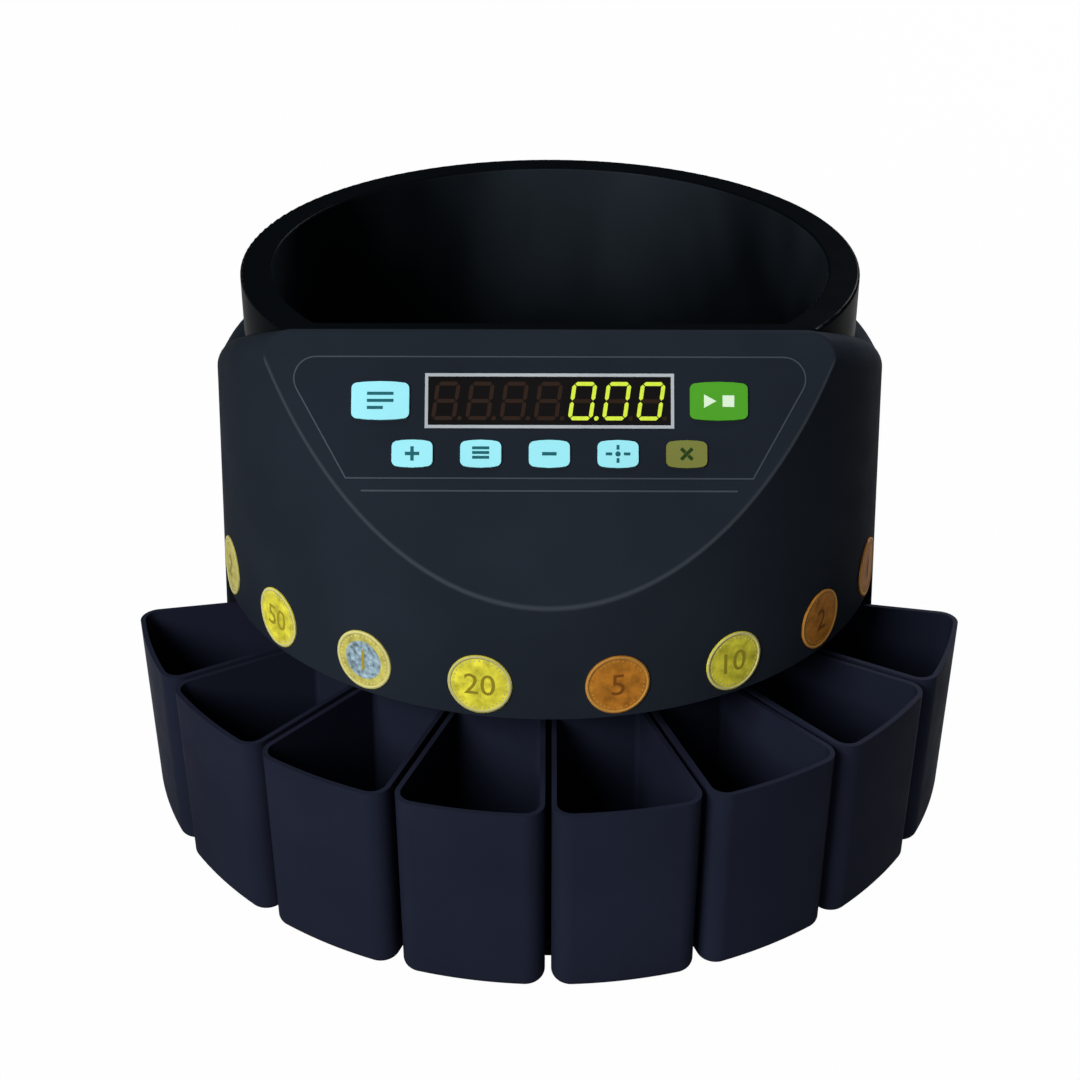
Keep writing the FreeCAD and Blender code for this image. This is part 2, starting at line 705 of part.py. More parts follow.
def make_overlay():
    """The film on the panel, and its outline as the tool for the housing's recess."""
    body = body_named("overlay_outline")
    corners = (
        ("-overlay_bottom_half", "-overlay_bottom"),
        ("overlay_bottom_half", "-overlay_bottom"),
        ("overlay_top_half", "-overlay_top"),
        ("-overlay_top_half", "-overlay_top"),
    )
    pad(body, "overlay_sheet", polygon(body, "overlay_corners", "XY_Plane", corners), "overlay_thickness")
    doc.recompute()
    middle = body.Shape.BoundBox.Center.y

    def is_upper_corner(edge):
        return edge.BoundBox.ZLength > size("overlay_thickness") / 2 and edge.CenterOfMass.y > middle

    form = rounded("overlay_form", body, (is_upper_corner, size("overlay_round")))
    on_panel(form, out="-overlay_thickness")
    openings = [
        key_opening(
            f"{label}_film_hole", x, along, width, height, "-overlay_thickness * 2", "overlay_thickness * 3"
        )
        for label, x, along, width, height in KEYS
    ]
    frame_hole = on_panel(
        box(
            "frame_film_hole",
            "frame_width + 2 * panel_fit",
            "frame_height + 2 * panel_fit",
            "overlay_thickness * 3",
        ),
        "-frame_width / 2 - panel_fit",
        "-display_drop - frame_height / 2 - panel_fit",
        "-overlay_thickness * 2",
    )
    piece("panel_overlay", cut("overlay_film", form, frame_hole, *openings))
    return form


def make_housing(overlay_form):
    outer_form = housing_form("outer_form", "0")
    shoulder = rounded("outer_shoulder", outer_form, (shoulder_edges(0.0), size("shoulder_round")))

    def is_long_panel_edge(edge):
        return is_panel_edge(edge) and edge.BoundBox.ZLength > size("panel_round")

    outside = rounded("outer_rounded", shoulder, (is_long_panel_edge, size("panel_round")))
    wall = size("housing_wall")
    inner_form = housing_form("inner_form", "housing_wall")
    inside = rounded("inner_rounded", inner_form, (shoulder_edges(wall), size("shoulder_round") - wall))
    tub = common(
        "recess_tub", outside, rear_block("recess_block", "housing_wall", "recess_floor - housing_wall")
    )
    ledge_ring = ring("ledge_ring", "housing_base_radius", "hopper_radius - seat_width", "housing_wall")
    at(ledge_ring, z="seat_height - housing_wall")
    ledge_room = at(box("ledge_room", "reach", "reach", "reach"), "-reach / 2", "-seat_front", "0")
    ledge = common("hopper_ledge", ledge_ring, ledge_room, outside)
    screw_bosses = []
    for step, angle in enumerate(SCREW_BOSSES):
        boss = cylinder(f"screw_boss_{step}", "boss_radius", "boss_top - tray_top")
        screw_bosses.append(turned(boss, angle, y="-boss_ring", z="tray_top"))
    board_bosses = []
    for step, x in enumerate(BOARD_BOSSES):
        boss = cylinder(f"board_boss_{step}", "board_boss_radius", "board_depth - housing_wall / 2")
        board_bosses.append(on_panel(boss, x, "-small_key_drop", "-board_depth"))
    shell = fuse(
        "housing_solid", cut("housing_shell", outside, inside), tub, ledge, *screw_bosses, *board_bosses
    )
    return piece("main_housing", cut("housing_open", shell, *housing_openings(overlay_form)))


def rear_block(name, border, front):
    """A block behind the drum round the rear recess."""
    block = box(
        name, f"recess_width + 2 * ({border})", "reach", f"recess_high - recess_low + 2 * ({border})"
    )
    return at(block, f"-recess_width / 2 - ({border})", front, f"recess_low - ({border})")


def housing_openings(overlay_form):
    mouth_round = at(cylinder("mouth_round", "hopper_radius + hopper_gap", "reach"), z="seat_height")
    mouth_room = at(box("mouth_room", "reach", "reach", "reach * 2"), "-reach / 2", "-hopper_front", "0")
    tools = [common("hopper_mouth", mouth_round, mouth_room), overlay_form]
    tools.append(half_turn_sector("cup_bay", "reach", "skirt_height", "bay_angle", "0"))
    tools.append(
        on_panel(
            box(
                "window_hole",
                "frame_width - 2 * frame_border",
                "frame_height - 2 * frame_border",
                "housing_wall * 3",
            ),
            "-frame_width / 2 + frame_border",
            "-display_drop - frame_height / 2 + frame_border",
            "-housing_wall * 2",
        )
    )
    for label, x, along, width, height in KEYS:
        tools.append(
            key_opening(
                f"{label}_hole", x, along, width, height, "-housing_wall * 3 / 2", "housing_wall * 2"
            )
        )
    tools.append(
        on_panel(
            box("line_groove", "2 * line_half", "line_width", "line_depth * 2"),
            "-line_half",
            "-line_drop - line_width / 2",
            "-line_depth",
        )
    )
    tools.append(rear_block("recess_room", "0", "recess_floor"))
    tools.append(
        at(
            box(
                "inlet_hole", "inlet_width + 2 * fit_gap", "housing_wall * 3", "inlet_height + 2 * fit_gap"
            ),
            "inlet_offset - inlet_width / 2 - fit_gap",
            "recess_floor - housing_wall * 2",
            "recess_middle - inlet_height / 2 - fit_gap",
        )
    )
    tools.append(
        at(
            box(
                "switch_hole",
                "switch_body_width + 2 * fit_gap",
                "housing_wall * 3",
                "switch_body_height + 2 * fit_gap",
            ),
            "-inlet_offset - switch_body_width / 2 - fit_gap",
            "recess_floor - housing_wall * 2",
            "recess_middle - switch_body_height / 2 - fit_gap",
        )
    )
    for step, angle in enumerate(SCREW_BOSSES):
        pilot = cylinder(f"boss_pilot_{step}", "housing_screw_radius", "housing_screw_bite")
        tools.append(turned(pilot, angle, y="-boss_ring", z="tray_top"))
    for step, x in enumerate(BOARD_BOSSES):
        pilot = cylinder(f"board_pilot_{step}", "board_screw_radius", "board_screw_bite")
        tools.append(on_panel(pilot, x, "-small_key_drop", "-board_depth"))
    for step in range(-4, 5):
        slot = box(f"vent_{step + 4}", "vent_width", "vent_cut", "vent_high - vent_low")
        tools.append(
            turned(
                slot,
                f"180 + {step} * vent_pitch",
                "-vent_width / 2",
                "-housing_base_radius - housing_wall",
                "vent_low",
            )
        )
    return tools


def behind_apron(name, offset):
    """The room behind the bowl's sloping front, which is moved forward by the offset."""
    room = box(name, "reach", "reach * 3 / 2", "reach")
    set_turn(room, SIDEWAYS, "-apron_angle")
    set_place(
        room,
        "-reach / 2",
        f"rim_front_width - hopper_face - reach / 2 * cos(apron_angle) - ({offset}) * sin(apron_angle)",
        f"rim_height + reach / 2 * sin(apron_angle) - ({offset}) * cos(apron_angle)",
    )
    return room


def behind_face(name, inset):
    """The room behind the hopper's flat front, moved inwards by the inset."""
    return at(box(name, "reach", "reach", "reach * 2"), "-reach / 2", f"({inset}) - hopper_face", "0")


def make_hopper():
    outer = at(cylinder("hopper_round", "hopper_radius", "rim_height - seat_height"), z="seat_height")
    outer = common("hopper_outer", outer, behind_face("hopper_front_room", "0"))
    room = cylinder(
        "hopper_room_round", "hopper_radius - hopper_wall", "rim_height - rim_thickness - seat_height"
    )
    at(room, z="seat_height")
    room = common("hopper_room", room, behind_face("hopper_inner_room", "hopper_wall"))
    skirt = cut("hopper_skirt", outer, room)
    bowl = at(cylinder("bowl_round", "bowl_radius + hopper_wall", "rim_height - bowl_low"), z="bowl_low")
    bowl = common("bowl_block", bowl, behind_apron("bowl_room", "hopper_wall"))
    floor = at(cylinder("bowl_floor", "bowl_radius + hopper_wall", "hopper_wall"), z="bowl_low")
    cavity = at(
        cylinder("cavity_round", "bowl_radius", "rim_height - bowl_low + 2 * rim_thickness"),
        z="bowl_low - rim_thickness",
    )
    cavity = common("bowl_cavity", cavity, behind_apron("cavity_room", "0"))
    bare = cut("hopper_bare", fuse("hopper_solid", skirt, bowl, floor), cavity)

    def is_rim_edge(edge):
        return edge.BoundBox.ZMin > size("rim_height") - TOUCH

    return piece("hopper", rounded("hopper_rimmed", bare, (is_rim_edge, size("rim_round"))))


def make_wiper(hopper):
    block = box("wiper_block", "wiper_width", "wiper_reach + wiper_height", "wiper_height")
    at(
        block,
        "bowl_radius - wiper_width - hopper_wall",
        "apron_foot - wiper_height",
        "bowl_low + wiper_lift",
    )
    room = at(cylinder("wiper_room", "bowl_radius - hopper_wall", "reach"), z="bowl_low")
    return piece("coin_wiper", cut("wiper_cut", common("wiper_trim", block, room), hopper))


STANDOFFS = [
    (x, y)
    for x in ("standoff_inset - supply_width / 2", "supply_width / 2 - standoff_inset")
    for y in ("supply_front + standoff_inset", "supply_front + supply_depth - standoff_inset")
]


def make_tray():
    rear = at(
        cylinder("tray_rear", "housing_base_radius - housing_wall - tray_edge_gap", "tray_thickness"),
        z="foot_height",
    )
    front = half_turn_sector(
        "tray_front", "tray_front_radius", "tray_thickness", "bay_angle - 2 * bay_end_angle", "foot_height"
    )
    solids = [rear, front]
    for step in range(-3, 4):
        rib = box(f"tray_rib_{step + 3}", "rib_width", "rib_length", "rib_height")
        turned(
            rib, f"{step} * cup_pitch", "-rib_width / 2", "rib_front_inset - tray_front_radius", "tray_top"
        )
        solids.append(rib)
    for step, (x, y) in enumerate(STANDOFFS):
        standoff = cylinder(f"standoff_{step}", "standoff_radius", "standoff_height")
        solids.append(at(standoff, x, y, "tray_top"))
    holes = []
    for step, angle in enumerate(SCREW_BOSSES):
        hole = cylinder(f"tray_hole_{step}", "housing_screw_radius + screw_clearance", "tray_thickness * 3")
        holes.append(turned(hole, angle, y="-boss_ring", z="foot_height - tray_thickness"))
    return piece("base_tray", cut("tray_open", fuse("tray_solid", *solids), *holes))


def make_bay_wall():
    round_wall = cut(
        "bay_round",
        half_turn_sector("bay_outer", "bay_wall_radius", "chute_low - tray_top", "bay_angle", "tray_top"),
        at(cylinder("bay_inner", "bay_wall_radius - bay_wall_thickness", "reach"), z="0"),
    )
    cheeks = []
    ends = (("bay_right", "bay_angle / 2", "-bay_wall_thickness"), ("bay_left", "-bay_angle / 2", "0"))
    for name, angle, x in ends:
        length = f"{radius_at('skirt_height')} - bay_wall_gap - bay_wall_radius + bay_wall_thickness"
        cheek = box(name, "bay_wall_thickness", length, "skirt_height - bay_wall_gap - tray_top")
        cheeks.append(turned(cheek, angle, x, f"bay_wall_gap - ({radius_at('skirt_height')})", "tray_top"))
    return piece("bay_wall", fuse("bay_solid", round_wall, *cheeks))


def make_deck():
    plate = at(cylinder("deck_plate", "deck_radius", "deck_thickness"), z="deck_height")
    hub = at(cylinder("deck_hub", "deck_hub_radius", "deck_hub_height"), z="hub_low")
    tools = [at(cylinder("deck_bore", "bush_radius + seat_clearance", "reach"), z="0")]
    for step, coin in enumerate(COINS):
        hole = cylinder(f"coin_hole_{step + 1}", f"{coin} / 2 + hole_clearance", "deck_thickness * 3")
        tools.append(
            turned(hole, f"({step} - 3.5) * cup_pitch", y="-pocket_ring", z="deck_height - deck_thickness")
        )
    screws = []
    for step, angle in enumerate(POST_ANGLES):
        screws.append(deck_screw(f"deck_screw_{step}", angle))
        tools.append(screws[-1])
    piece("deck_screws", group("deck_screw_set", *screws))
    return piece("sorting_deck", cut("deck_open", fuse("deck_solid", plate, hub), *tools))


def deck_screw(name, angle):
    """A screw with a flush head in the deck's upper face."""
    head_height = "deck_screw_head - deck_screw_radius"
    head = cone(name + "_head", "deck_screw_radius", "deck_screw_head", head_height)
    turned(head, angle, y="-post_ring", z=f"deck_top - ({head_height})")
    shank = cylinder(
        name + "_shank", "deck_screw_radius", f"deck_thickness - ({head_height}) + deck_screw_depth"
    )
    turned(shank, angle, y="-post_ring", z="deck_height - deck_screw_depth")
    return fuse(name, head, shank)


def make_posts():
    posts = []
    for step, angle in enumerate(POST_ANGLES):
        post = turned(
            cylinder(f"post_{step}", "post_radius", "deck_height - tray_top"),
            angle,
            y="-post_ring",
            z="tray_top",
        )
        pilot = cylinder(f"post_pilot_{step}", "deck_screw_radius", "deck_screw_depth")
        turned(pilot, angle, y="-post_ring", z="deck_height - deck_screw_depth")
        posts.append(cut(f"deck_post_{step}", post, pilot))
    return piece("deck_posts", group("post_set", *posts))


def make_chute():
    fall = "((deck_height - chute_low - chute_lip) / (chute_foot_radius - chute_top_radius))"
    inner = "bay_wall_radius - bay_wall_thickness"
    corners = (
        ("chute_top_radius - chute_thickness", "deck_height"),
        ("chute_top_radius", "deck_height"),
        ("chute_foot_radius", "chute_low + chute_lip"),
        ("chute_foot_radius", "chute_low"),
        (inner, "chute_low"),
        (inner, f"chute_low + chute_lip + (chute_foot_radius - {inner}) * {fall} - chute_thickness"),
        ("chute_top_radius", "deck_height - chute_thickness"),
        ("chute_top_radius - chute_thickness", "deck_height - chute_thickness"),
    )
    body = revolved("chute_body", corners, "bay_angle - 2 * bay_end_angle")
    set_place(body, "0", "0", "0")
    return piece("coin_chute", body)


def make_sensors():
    sensors = []
    for step in range(-4, 5):
        sensor = box(f"sensor_{step + 4}", "sensor_width", "sensor_depth", "sensor_height")
        sensors.append(
            turned(
                sensor,
                f"{step} * cup_pitch",
                "-sensor_width / 2",
                "sensor_inset - pocket_ring - sensor_depth",
                "deck_height - sensor_height",
            )
        )
    return piece("coin_sensors", group("sensor_set", *sensors))


def make_disc():
    plate = at(cylinder("disc_plate", "disc_radius", "disc_thickness"), z="disc_low")
    tools = [at(cylinder("disc_bore", "bore_radius", "reach"), z="0")]
    for step in range(round(360 / size("pocket_pitch"))):
        pocket = cylinder(f"pocket_{step}", "pocket_radius", "disc_thickness * 3")
        tools.append(
            turned(pocket, f"{step} * pocket_pitch", y="-pocket_ring", z="disc_low - disc_thickness")
        )
    piece("feed_disc", cut("disc_open", plate, *tools))
    cap = at(cylinder("knob_block", "knob_radius", "knob_height"), z="disc_top")
    doc.recompute()
    top = cap.Shape.BoundBox.ZMax
    cap = rounded("knob_rounded", cap, (lambda edge: edge.BoundBox.ZMin > top - TOUCH, size("knob_round")))
    socket = at(cylinder("knob_socket", "bore_radius", "spindle_top + seat_clearance"), z="disc_top")
    piece("disc_knob", cut("knob_open", cap, socket))
    spindle = cylinder("spindle_bar", "spindle_radius", "disc_top + spindle_top - gear_low + spindle_tail")
    piece("spindle", at(spindle, z="gear_low - spindle_tail"))
    bush = ring(
        "bush_ring", "bush_radius", "spindle_radius + bush_clearance", "deck_hub_height + deck_thickness"
    )
    piece("spindle_bush", at(bush, z="hub_low"))


def toothed(name, teeth, angle):
    """A toothed blank of the gear's width, turned by the angle."""
    builder = fcgear.FCWireBuilder()
    involute.CreateExternalGear(
        builder, size("gear_module"), round(size(teeth)), size("tooth_angle"), False
    )
    outline = doc.addObject("Part::Feature", name + "_outline")
    outline.Shape = Part.Face(Part.Wire([curve.toShape() for curve in builder.wire]))
    blank = doc.addObject("Part::Extrusion", name + "_blank")
    blank.Base = outline
    blank.DirMode = "Custom"
    blank.Dir = UP
    blank.Solid = True
    bind(blank, LengthFwd="gear_width")
    set_turn(blank, UP, angle)
    return blank


def make_gears():
    gear = toothed("disc_gear", "gear_teeth", "90")
    at(gear, z="gear_low")
    web_ring = ring(
        "gear_web_ring",
        "gear_module * (gear_teeth - 2.5) / 2 - gear_rim",
        "gear_hub_radius",
        "gear_width - gear_web",
    )
    at(web_ring, z="gear_low")
    gear_bore = at(cylinder("gear_bore", "bore_radius", "reach"), z="0")
    piece("disc_gear", cut("gear_open", gear, web_ring, gear_bore))
    pinion = toothed("motor_pinion", "pinion_teeth", "-90 + 180 / pinion_teeth")
    at(pinion, y="gear_axes", z="gear_low")
    pinion_bore = at(cylinder("pinion_bore", "motor_shaft_radius + seat_clearance", "reach"), y="gear_axes")
    piece("motor_pinion", cut("pinion_open", pinion, pinion_bore))


def make_motor():
    can = at(
        cylinder("motor_can", "motor_radius", "motor_length"), y="gear_axes", z="bracket_low - motor_length"
    )
    boss = at(
        cylinder("motor_boss", "motor_boss_radius", "motor_boss_height"), y="gear_axes", z="bracket_low"
    )
    shaft_low = "bracket_low - motor_length / 2"
    shaft = at(
        cylinder("motor_bar", "motor_shaft_radius", f"gear_top - ({shaft_low})"), y="gear_axes", z=shaft_low
    )
    piece("motor_shaft", shaft)
    bore = cylinder("motor_bore", "motor_shaft_radius + bush_clearance", "reach")
    at(bore, y="gear_axes", z=f"{shaft_low} - bush_clearance")
    plate = box("bracket_plate", "bracket_width", "bracket_depth", "bracket_thickness")
    at(plate, "-bracket_width / 2", "gear_axes - bracket_depth / 2", "bracket_low")
    posts = []
    for side in ("-1", "1"):
        post = cylinder(f"bracket_post_{len(posts)}", "bracket_post_radius", "deck_height - bracket_low")
        posts.append(
            at(post, f"{side} * bracket_post_spread", "gear_axes + bracket_post_back", "bracket_low")
        )
    boss_clear = at(
        cylinder("pinion_room", "motor_boss_radius + seat_clearance", "reach"), y="gear_axes", z="0"
    )
    screws = []
    for side in ("-1", "1"):
        x = f"{side} * motor_screw_ring"
        shank = cylinder(
            f"motor_screw_shank_{len(screws)}", "motor_screw_radius", "screw_bite + bracket_thickness"
        )
        at(shank, x, "gear_axes", "bracket_low - screw_bite")
        head = cylinder(f"motor_screw_head_{len(screws)}", "screw_head_radius", "screw_head_height")
        at(head, x, "gear_axes", "bracket_low + bracket_thickness")
        screws.append(fuse(f"motor_screw_{len(screws)}", shank, head))
    piece("motor_screws", group("motor_screw_set", *screws))
    piece("drive_motor", cut("motor_open", fuse("motor_solid", can, boss), bore, *screws))
    piece("motor_bracket", cut("bracket_open", fuse("bracket_solid", plate, *posts), boss_clear, *screws))


def make_panel_pieces():
    border = on_panel(
        box("frame_block", "frame_width", "frame_height", "overlay_thickness + frame_proud"),
        "-frame_width / 2",
        "-display_drop - frame_height / 2",
        "-overlay_thickness",
    )
    opening = on_panel(
        box(
            "frame_opening",
            "frame_width - 2 * frame_border",
            "frame_height - 2 * frame_border",
            "overlay_thickness * 4",
        ),
        "-frame_width / 2 + frame_border",
        "-display_drop - frame_height / 2 + frame_border",
        "-overlay_thickness * 2",
    )
    piece("display_frame", cut("frame_open", border, opening))
    window_width = "(frame_width - 2 * frame_border - 2 * panel_fit)"
    window_height = "(frame_height - 2 * frame_border - 2 * panel_fit)"
    window = box("window_block", window_width, window_height, "window_thickness")
    piece(
        "display_window",
        on_panel(window, f"-{window_width} / 2", f"-display_drop - {window_height} / 2", "module_top"),
    )
    module = box("module_block", "module_width", "module_height", "board_depth + module_top")
    piece(
        "display_module",
        on_panel(module, "-module_width / 2", "-display_drop - module_height / 2", "-board_depth"),
    )
    switches = []
    for label, x, along, width, height in KEYS:
        cap_height = "key_proud + housing_wall + key_play"
        cap = barrel_body(label + "_cap", width, height, "key_bulge", cap_height, size("key_corner"))
        on_panel(cap, x, along, "key_flange_top")
        flange = on_panel(
            box(
                label + "_flange",
                f"{width} + 2 * key_flange",
                f"{height} + 2 * key_bulge + 2 * key_flange",
                "key_flange_thickness",
            ),
            f"{x} - {width} / 2 - key_flange",
            f"{along} - {height} / 2 - key_bulge - key_flange",
            "key_flange_low",
        )
        plunger = cylinder(label + "_plunger", "key_plunger_radius", "key_flange_low - key_low")
        on_panel(plunger, x, along, "key_low")
        piece(label, fuse(label + "_solid", cap, flange, plunger))
        switch = box(label + "_switch", "switch_size", "switch_size", "switch_height")
        switches.append(
            on_panel(switch, f"{x} - switch_size / 2", f"{along} - switch_size / 2", "-board_depth")
        )
    piece("key_switches", group("switch_set", *switches))
    screws = []
    for step, x in enumerate(BOARD_BOSSES):
        shank = cylinder(
            f"board_screw_shank_{step}", "board_screw_radius", "board_screw_bite + board_thickness"
        )
        on_panel(shank, x, "-small_key_drop", "board_back")
        head = cylinder(f"board_screw_head_{step}", "screw_head_radius", "screw_head_height")
        on_panel(head, x, "-small_key_drop", "board_back - screw_head_height")
        screws.append(fuse(f"board_screw_{step}", shank, head))
    piece("board_screws", group("board_screw_set", *screws))
    board = box("board_sheet", "2 * board_half", "board_bottom - board_top", "board_thickness")
    on_panel(board, "-board_half", "-board_bottom", "board_back")
    piece("control_board", cut("board_open", board, *screws))


def make_labels():
    disc = cylinder("label_round", "label_radius", "reach")
    set_turn(disc, SIDEWAYS, "90")
    set_place(disc, "0", "0", "label_height")
    thick = cone(
        "label_outer",
        "housing_base_radius + label_thickness",
        "housing_top_radius + label_thickness",
        "ridge_height - foot_height",
    )
    bare = cone("label_inner", "housing_base_radius", "housing_top_radius", "ridge_height - foot_height")
    at(thick, z="foot_height")
    at(bare, z="foot_height")
    form = common("label_form", cut("label_skin", thick, bare), disc)
    for step in range(len(COINS)):
        place = step - len(COINS) // 2
        if place >= 0:
            angle = f"label_first + {place} * label_pitch"
        else:
            angle = f"-label_first - {-1 - place} * label_pitch"
        piece(f"coin_label_{step + 1}", swung(f"label_{step + 1}_copy", form, angle))


def make_cups():
    form = make_cup()
    for step in range(len(COINS)):
        piece(f"coin_cup_{step + 1}", swung(f"cup_{step + 1}_copy", form, f"({step} - 3.5) * cup_pitch"))


def make_rear_pieces():
    flange = box(
        "inlet_flange_block",
        "inlet_width + 2 * inlet_flange",
        "flange_thickness",
        "inlet_height + 2 * inlet_flange",
    )
    at(
        flange,
        "inlet_offset - inlet_width / 2 - inlet_flange",
        "recess_floor",
        "recess_middle - inlet_height / 2 - inlet_flange",
    )
    body = box("inlet_body", "inlet_width", "inlet_depth", "inlet_height")
    at(
        body,
        "inlet_offset - inlet_width / 2",
        "recess_floor - inlet_depth",
        "recess_middle - inlet_height / 2",
    )
    socket = box("inlet_socket", "inlet_width - 2 * inlet_wall", "reach", "inlet_height - 2 * inlet_wall")
    at(
        socket,
        "inlet_offset - inlet_width / 2 + inlet_wall",
        "recess_floor - inlet_depth + inlet_wall",
        "recess_middle - inlet_height / 2 + inlet_wall",
    )
    piece("power_inlet", cut("inlet_open", fuse("inlet_solid", flange, body), socket))
    pins = []
    for step in range(-1, 2):
        pin = box(f"inlet_pin_{step + 1}", "pin_width", "pin_length", "pin_height")
        lift = "pin_height / 2" if step == 0 else "-pin_height / 2"
        pins.append(
            at(
                pin,
                f"inlet_offset + {step} * pin_pitch - pin_width / 2",
                "recess_floor - inlet_depth + inlet_wall",
                f"recess_middle + {lift} - pin_height / 2",
            )
        )
    piece("inlet_pins", group("pin_set", *pins))
    make_switch()


def make_switch():
    flange = box(
        "switch_flange_block",
        "switch_body_width + 2 * inlet_flange",
        "flange_thickness",
        "switch_body_height + 2 * inlet_flange",
    )
    at(
        flange,
        "-inlet_offset - switch_body_width / 2 - inlet_flange",
        "recess_floor",
        "recess_middle - switch_body_height / 2 - inlet_flange",
    )
    body = box("switch_body", "switch_body_width", "switch_body_depth", "switch_body_height")
    at(
        body,
        "-inlet_offset - switch_body_width / 2",
        "recess_floor - switch_body_depth",
        "recess_middle - switch_body_height / 2",
    )
    well = box(
        "switch_well",
        "switch_body_width - 2 * switch_body_wall",
        "reach",
        "switch_body_height - 2 * switch_body_wall",
    )
    at(
        well,
        "-inlet_offset - switch_body_width / 2 + switch_body_wall",
        "recess_floor - switch_body_depth + switch_body_wall",
        "recess_middle - switch_body_height / 2 + switch_body_wall",
    )
    pivot = cylinder("rocker_pivot", "rocker_pin_radius", "switch_body_width - switch_body_wall")
    across(pivot, "-inlet_offset - switch_body_width / 2 + switch_body_wall / 2")
    pivot_hole = cylinder("rocker_pivot_hole", "rocker_pin_radius + bush_clearance", "switch_body_width")
    across(pivot_hole, "-inlet_offset - switch_body_width / 2")
    piece("switch_frame", cut("switch_open", fuse("switch_solid", flange, body), well, pivot_hole))
    rocker_width = "(switch_body_width - 2 * switch_body_wall - 2 * rocker_gap)"
    crown = cylinder("rocker_crown", "rocker_radius", rocker_width)
    across(crown, f"-inlet_offset - {rocker_width} / 2")
    block = box("rocker_block", rocker_width, "rocker_radius + rocker_root", "rocker_height")
    at(
        block,
        f"-inlet_offset - {rocker_width} / 2",
        "rocker_pivot_y - rocker_root",
        "recess_middle - rocker_height / 2",
    )
    piece("switch_rocker", fuse("rocker_solid", common("rocker_face", crown, block), pivot))


def across(obj, x):
    """A cylinder laid along +X through the rocker's pivot."""
    set_turn(obj, FreeCAD.Vector(0, 1, 0), "90")
    set_place(obj, x, "rocker_pivot_y", "recess_middle")


def make_supply():
    board = box("supply_sheet", "supply_width", "supply_depth", "board_thickness")
    piece("supply_board", at(board, "-supply_width / 2", "supply_front", "supply_low"))
    block = box("transformer_block", "transformer_width", "transformer_depth", "transformer_height")
    at(
        block,
        "-transformer_offset - transformer_width / 2",
        "supply_front + (supply_depth - transformer_depth) / 2",
        "supply_top",
    )
    piece("transformer", block)


def make_feet_and_screws():
    feet = []
    screws = []
    for step in range(4):
        foot = cone(f"foot_{step}", "foot_tip_radius", "foot_radius", "foot_height")
        feet.append(turned(foot, f"45 + 90 * {step}", y="-foot_ring"))
    piece("rubber_feet", group("foot_set", *feet))
    for step, angle in enumerate(SCREW_BOSSES):
        shank = cylinder(
            f"housing_screw_shank_{step}", "housing_screw_radius", "tray_thickness + housing_screw_bite"
        )
        turned(shank, angle, y="-boss_ring", z="foot_height")
        head = cylinder(f"housing_screw_head_{step}", "screw_head_radius", "screw_head_height")
        turned(head, angle, y="-boss_ring", z="foot_height - screw_head_height")
        screws.append(fuse(f"housing_screw_{step}", shank, head))
    piece("housing_screws", group("housing_screw_set", *screws))


make_housing(make_overlay())
make_wiper(make_hopper())
make_tray()
make_bay_wall()
make_deck()
make_posts()
make_chute()
make_sensors()
make_disc()
make_gears()
make_motor()
make_panel_pieces()
make_labels()
make_cups()
make_rear_pieces()
make_supply()
make_feet_and_screws()
doc.recompute()

for obj in doc.Objects:
    if "Invalid" in obj.State or "Error" in obj.State:
        raise ValueError(f"{obj.Label} was not built: {obj.State}")
os.makedirs("parts", exist_ok=True)
for obj in pieces:
    if obj.Shape.isNull() or not obj.Shape.isValid() or not obj.Shape.Solids:
        raise ValueError(f"{obj.Label} has no sound solid")
    obj.Shape.exportStep(f"parts/{obj.Label}.step")
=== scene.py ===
import json
import math

import bpy
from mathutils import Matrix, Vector


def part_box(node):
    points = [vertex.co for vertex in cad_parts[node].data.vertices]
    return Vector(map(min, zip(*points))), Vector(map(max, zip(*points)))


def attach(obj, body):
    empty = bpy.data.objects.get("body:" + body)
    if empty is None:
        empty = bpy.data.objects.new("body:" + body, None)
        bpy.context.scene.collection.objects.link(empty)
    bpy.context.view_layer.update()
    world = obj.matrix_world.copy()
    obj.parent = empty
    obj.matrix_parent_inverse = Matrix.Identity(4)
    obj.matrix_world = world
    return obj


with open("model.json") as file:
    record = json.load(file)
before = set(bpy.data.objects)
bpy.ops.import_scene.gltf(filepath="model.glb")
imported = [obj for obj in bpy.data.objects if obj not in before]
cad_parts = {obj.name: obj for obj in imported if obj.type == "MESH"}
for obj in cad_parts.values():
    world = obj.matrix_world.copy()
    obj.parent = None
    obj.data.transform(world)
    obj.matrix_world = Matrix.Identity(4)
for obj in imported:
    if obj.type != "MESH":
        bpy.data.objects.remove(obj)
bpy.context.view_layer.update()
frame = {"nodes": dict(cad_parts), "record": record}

MM = 0.001

# Places of the solids, in mm, that prints and looks follow
AXIS_Y = (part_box("spindle")[0].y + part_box("spindle")[1].y) / 2 / MM
RIDGE_Y = -80.3
RIDGE_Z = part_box("main_housing")[1].z / MM
PANEL_ANGLE = math.radians(54.2)
FOOT_Z = 4.0
DRUM_LOW = 148.5
DRUM_HIGH = 138.0
DRUM_DRAFT = (DRUM_LOW - DRUM_HIGH) / (RIDGE_Z - FOOT_Z)
LABEL_OUT = 0.5
LABEL_Z = 123.8
BOWL_INSIDE = 118.0
BOWL_OUTSIDE = 124.0

# How far from where the panel meets the drum the painted highlight fades out, and how deep the bowl's
# painted sheen reaches, in mm
HIGHLIGHT_NEAR = 0.2
HIGHLIGHT_FAR = 0.8
SHEEN_DEPTH = 170.0

# Range of a noise texture that colours and gloss are spread over
NOISE_LOW = 0.3
NOISE_HIGH = 0.7


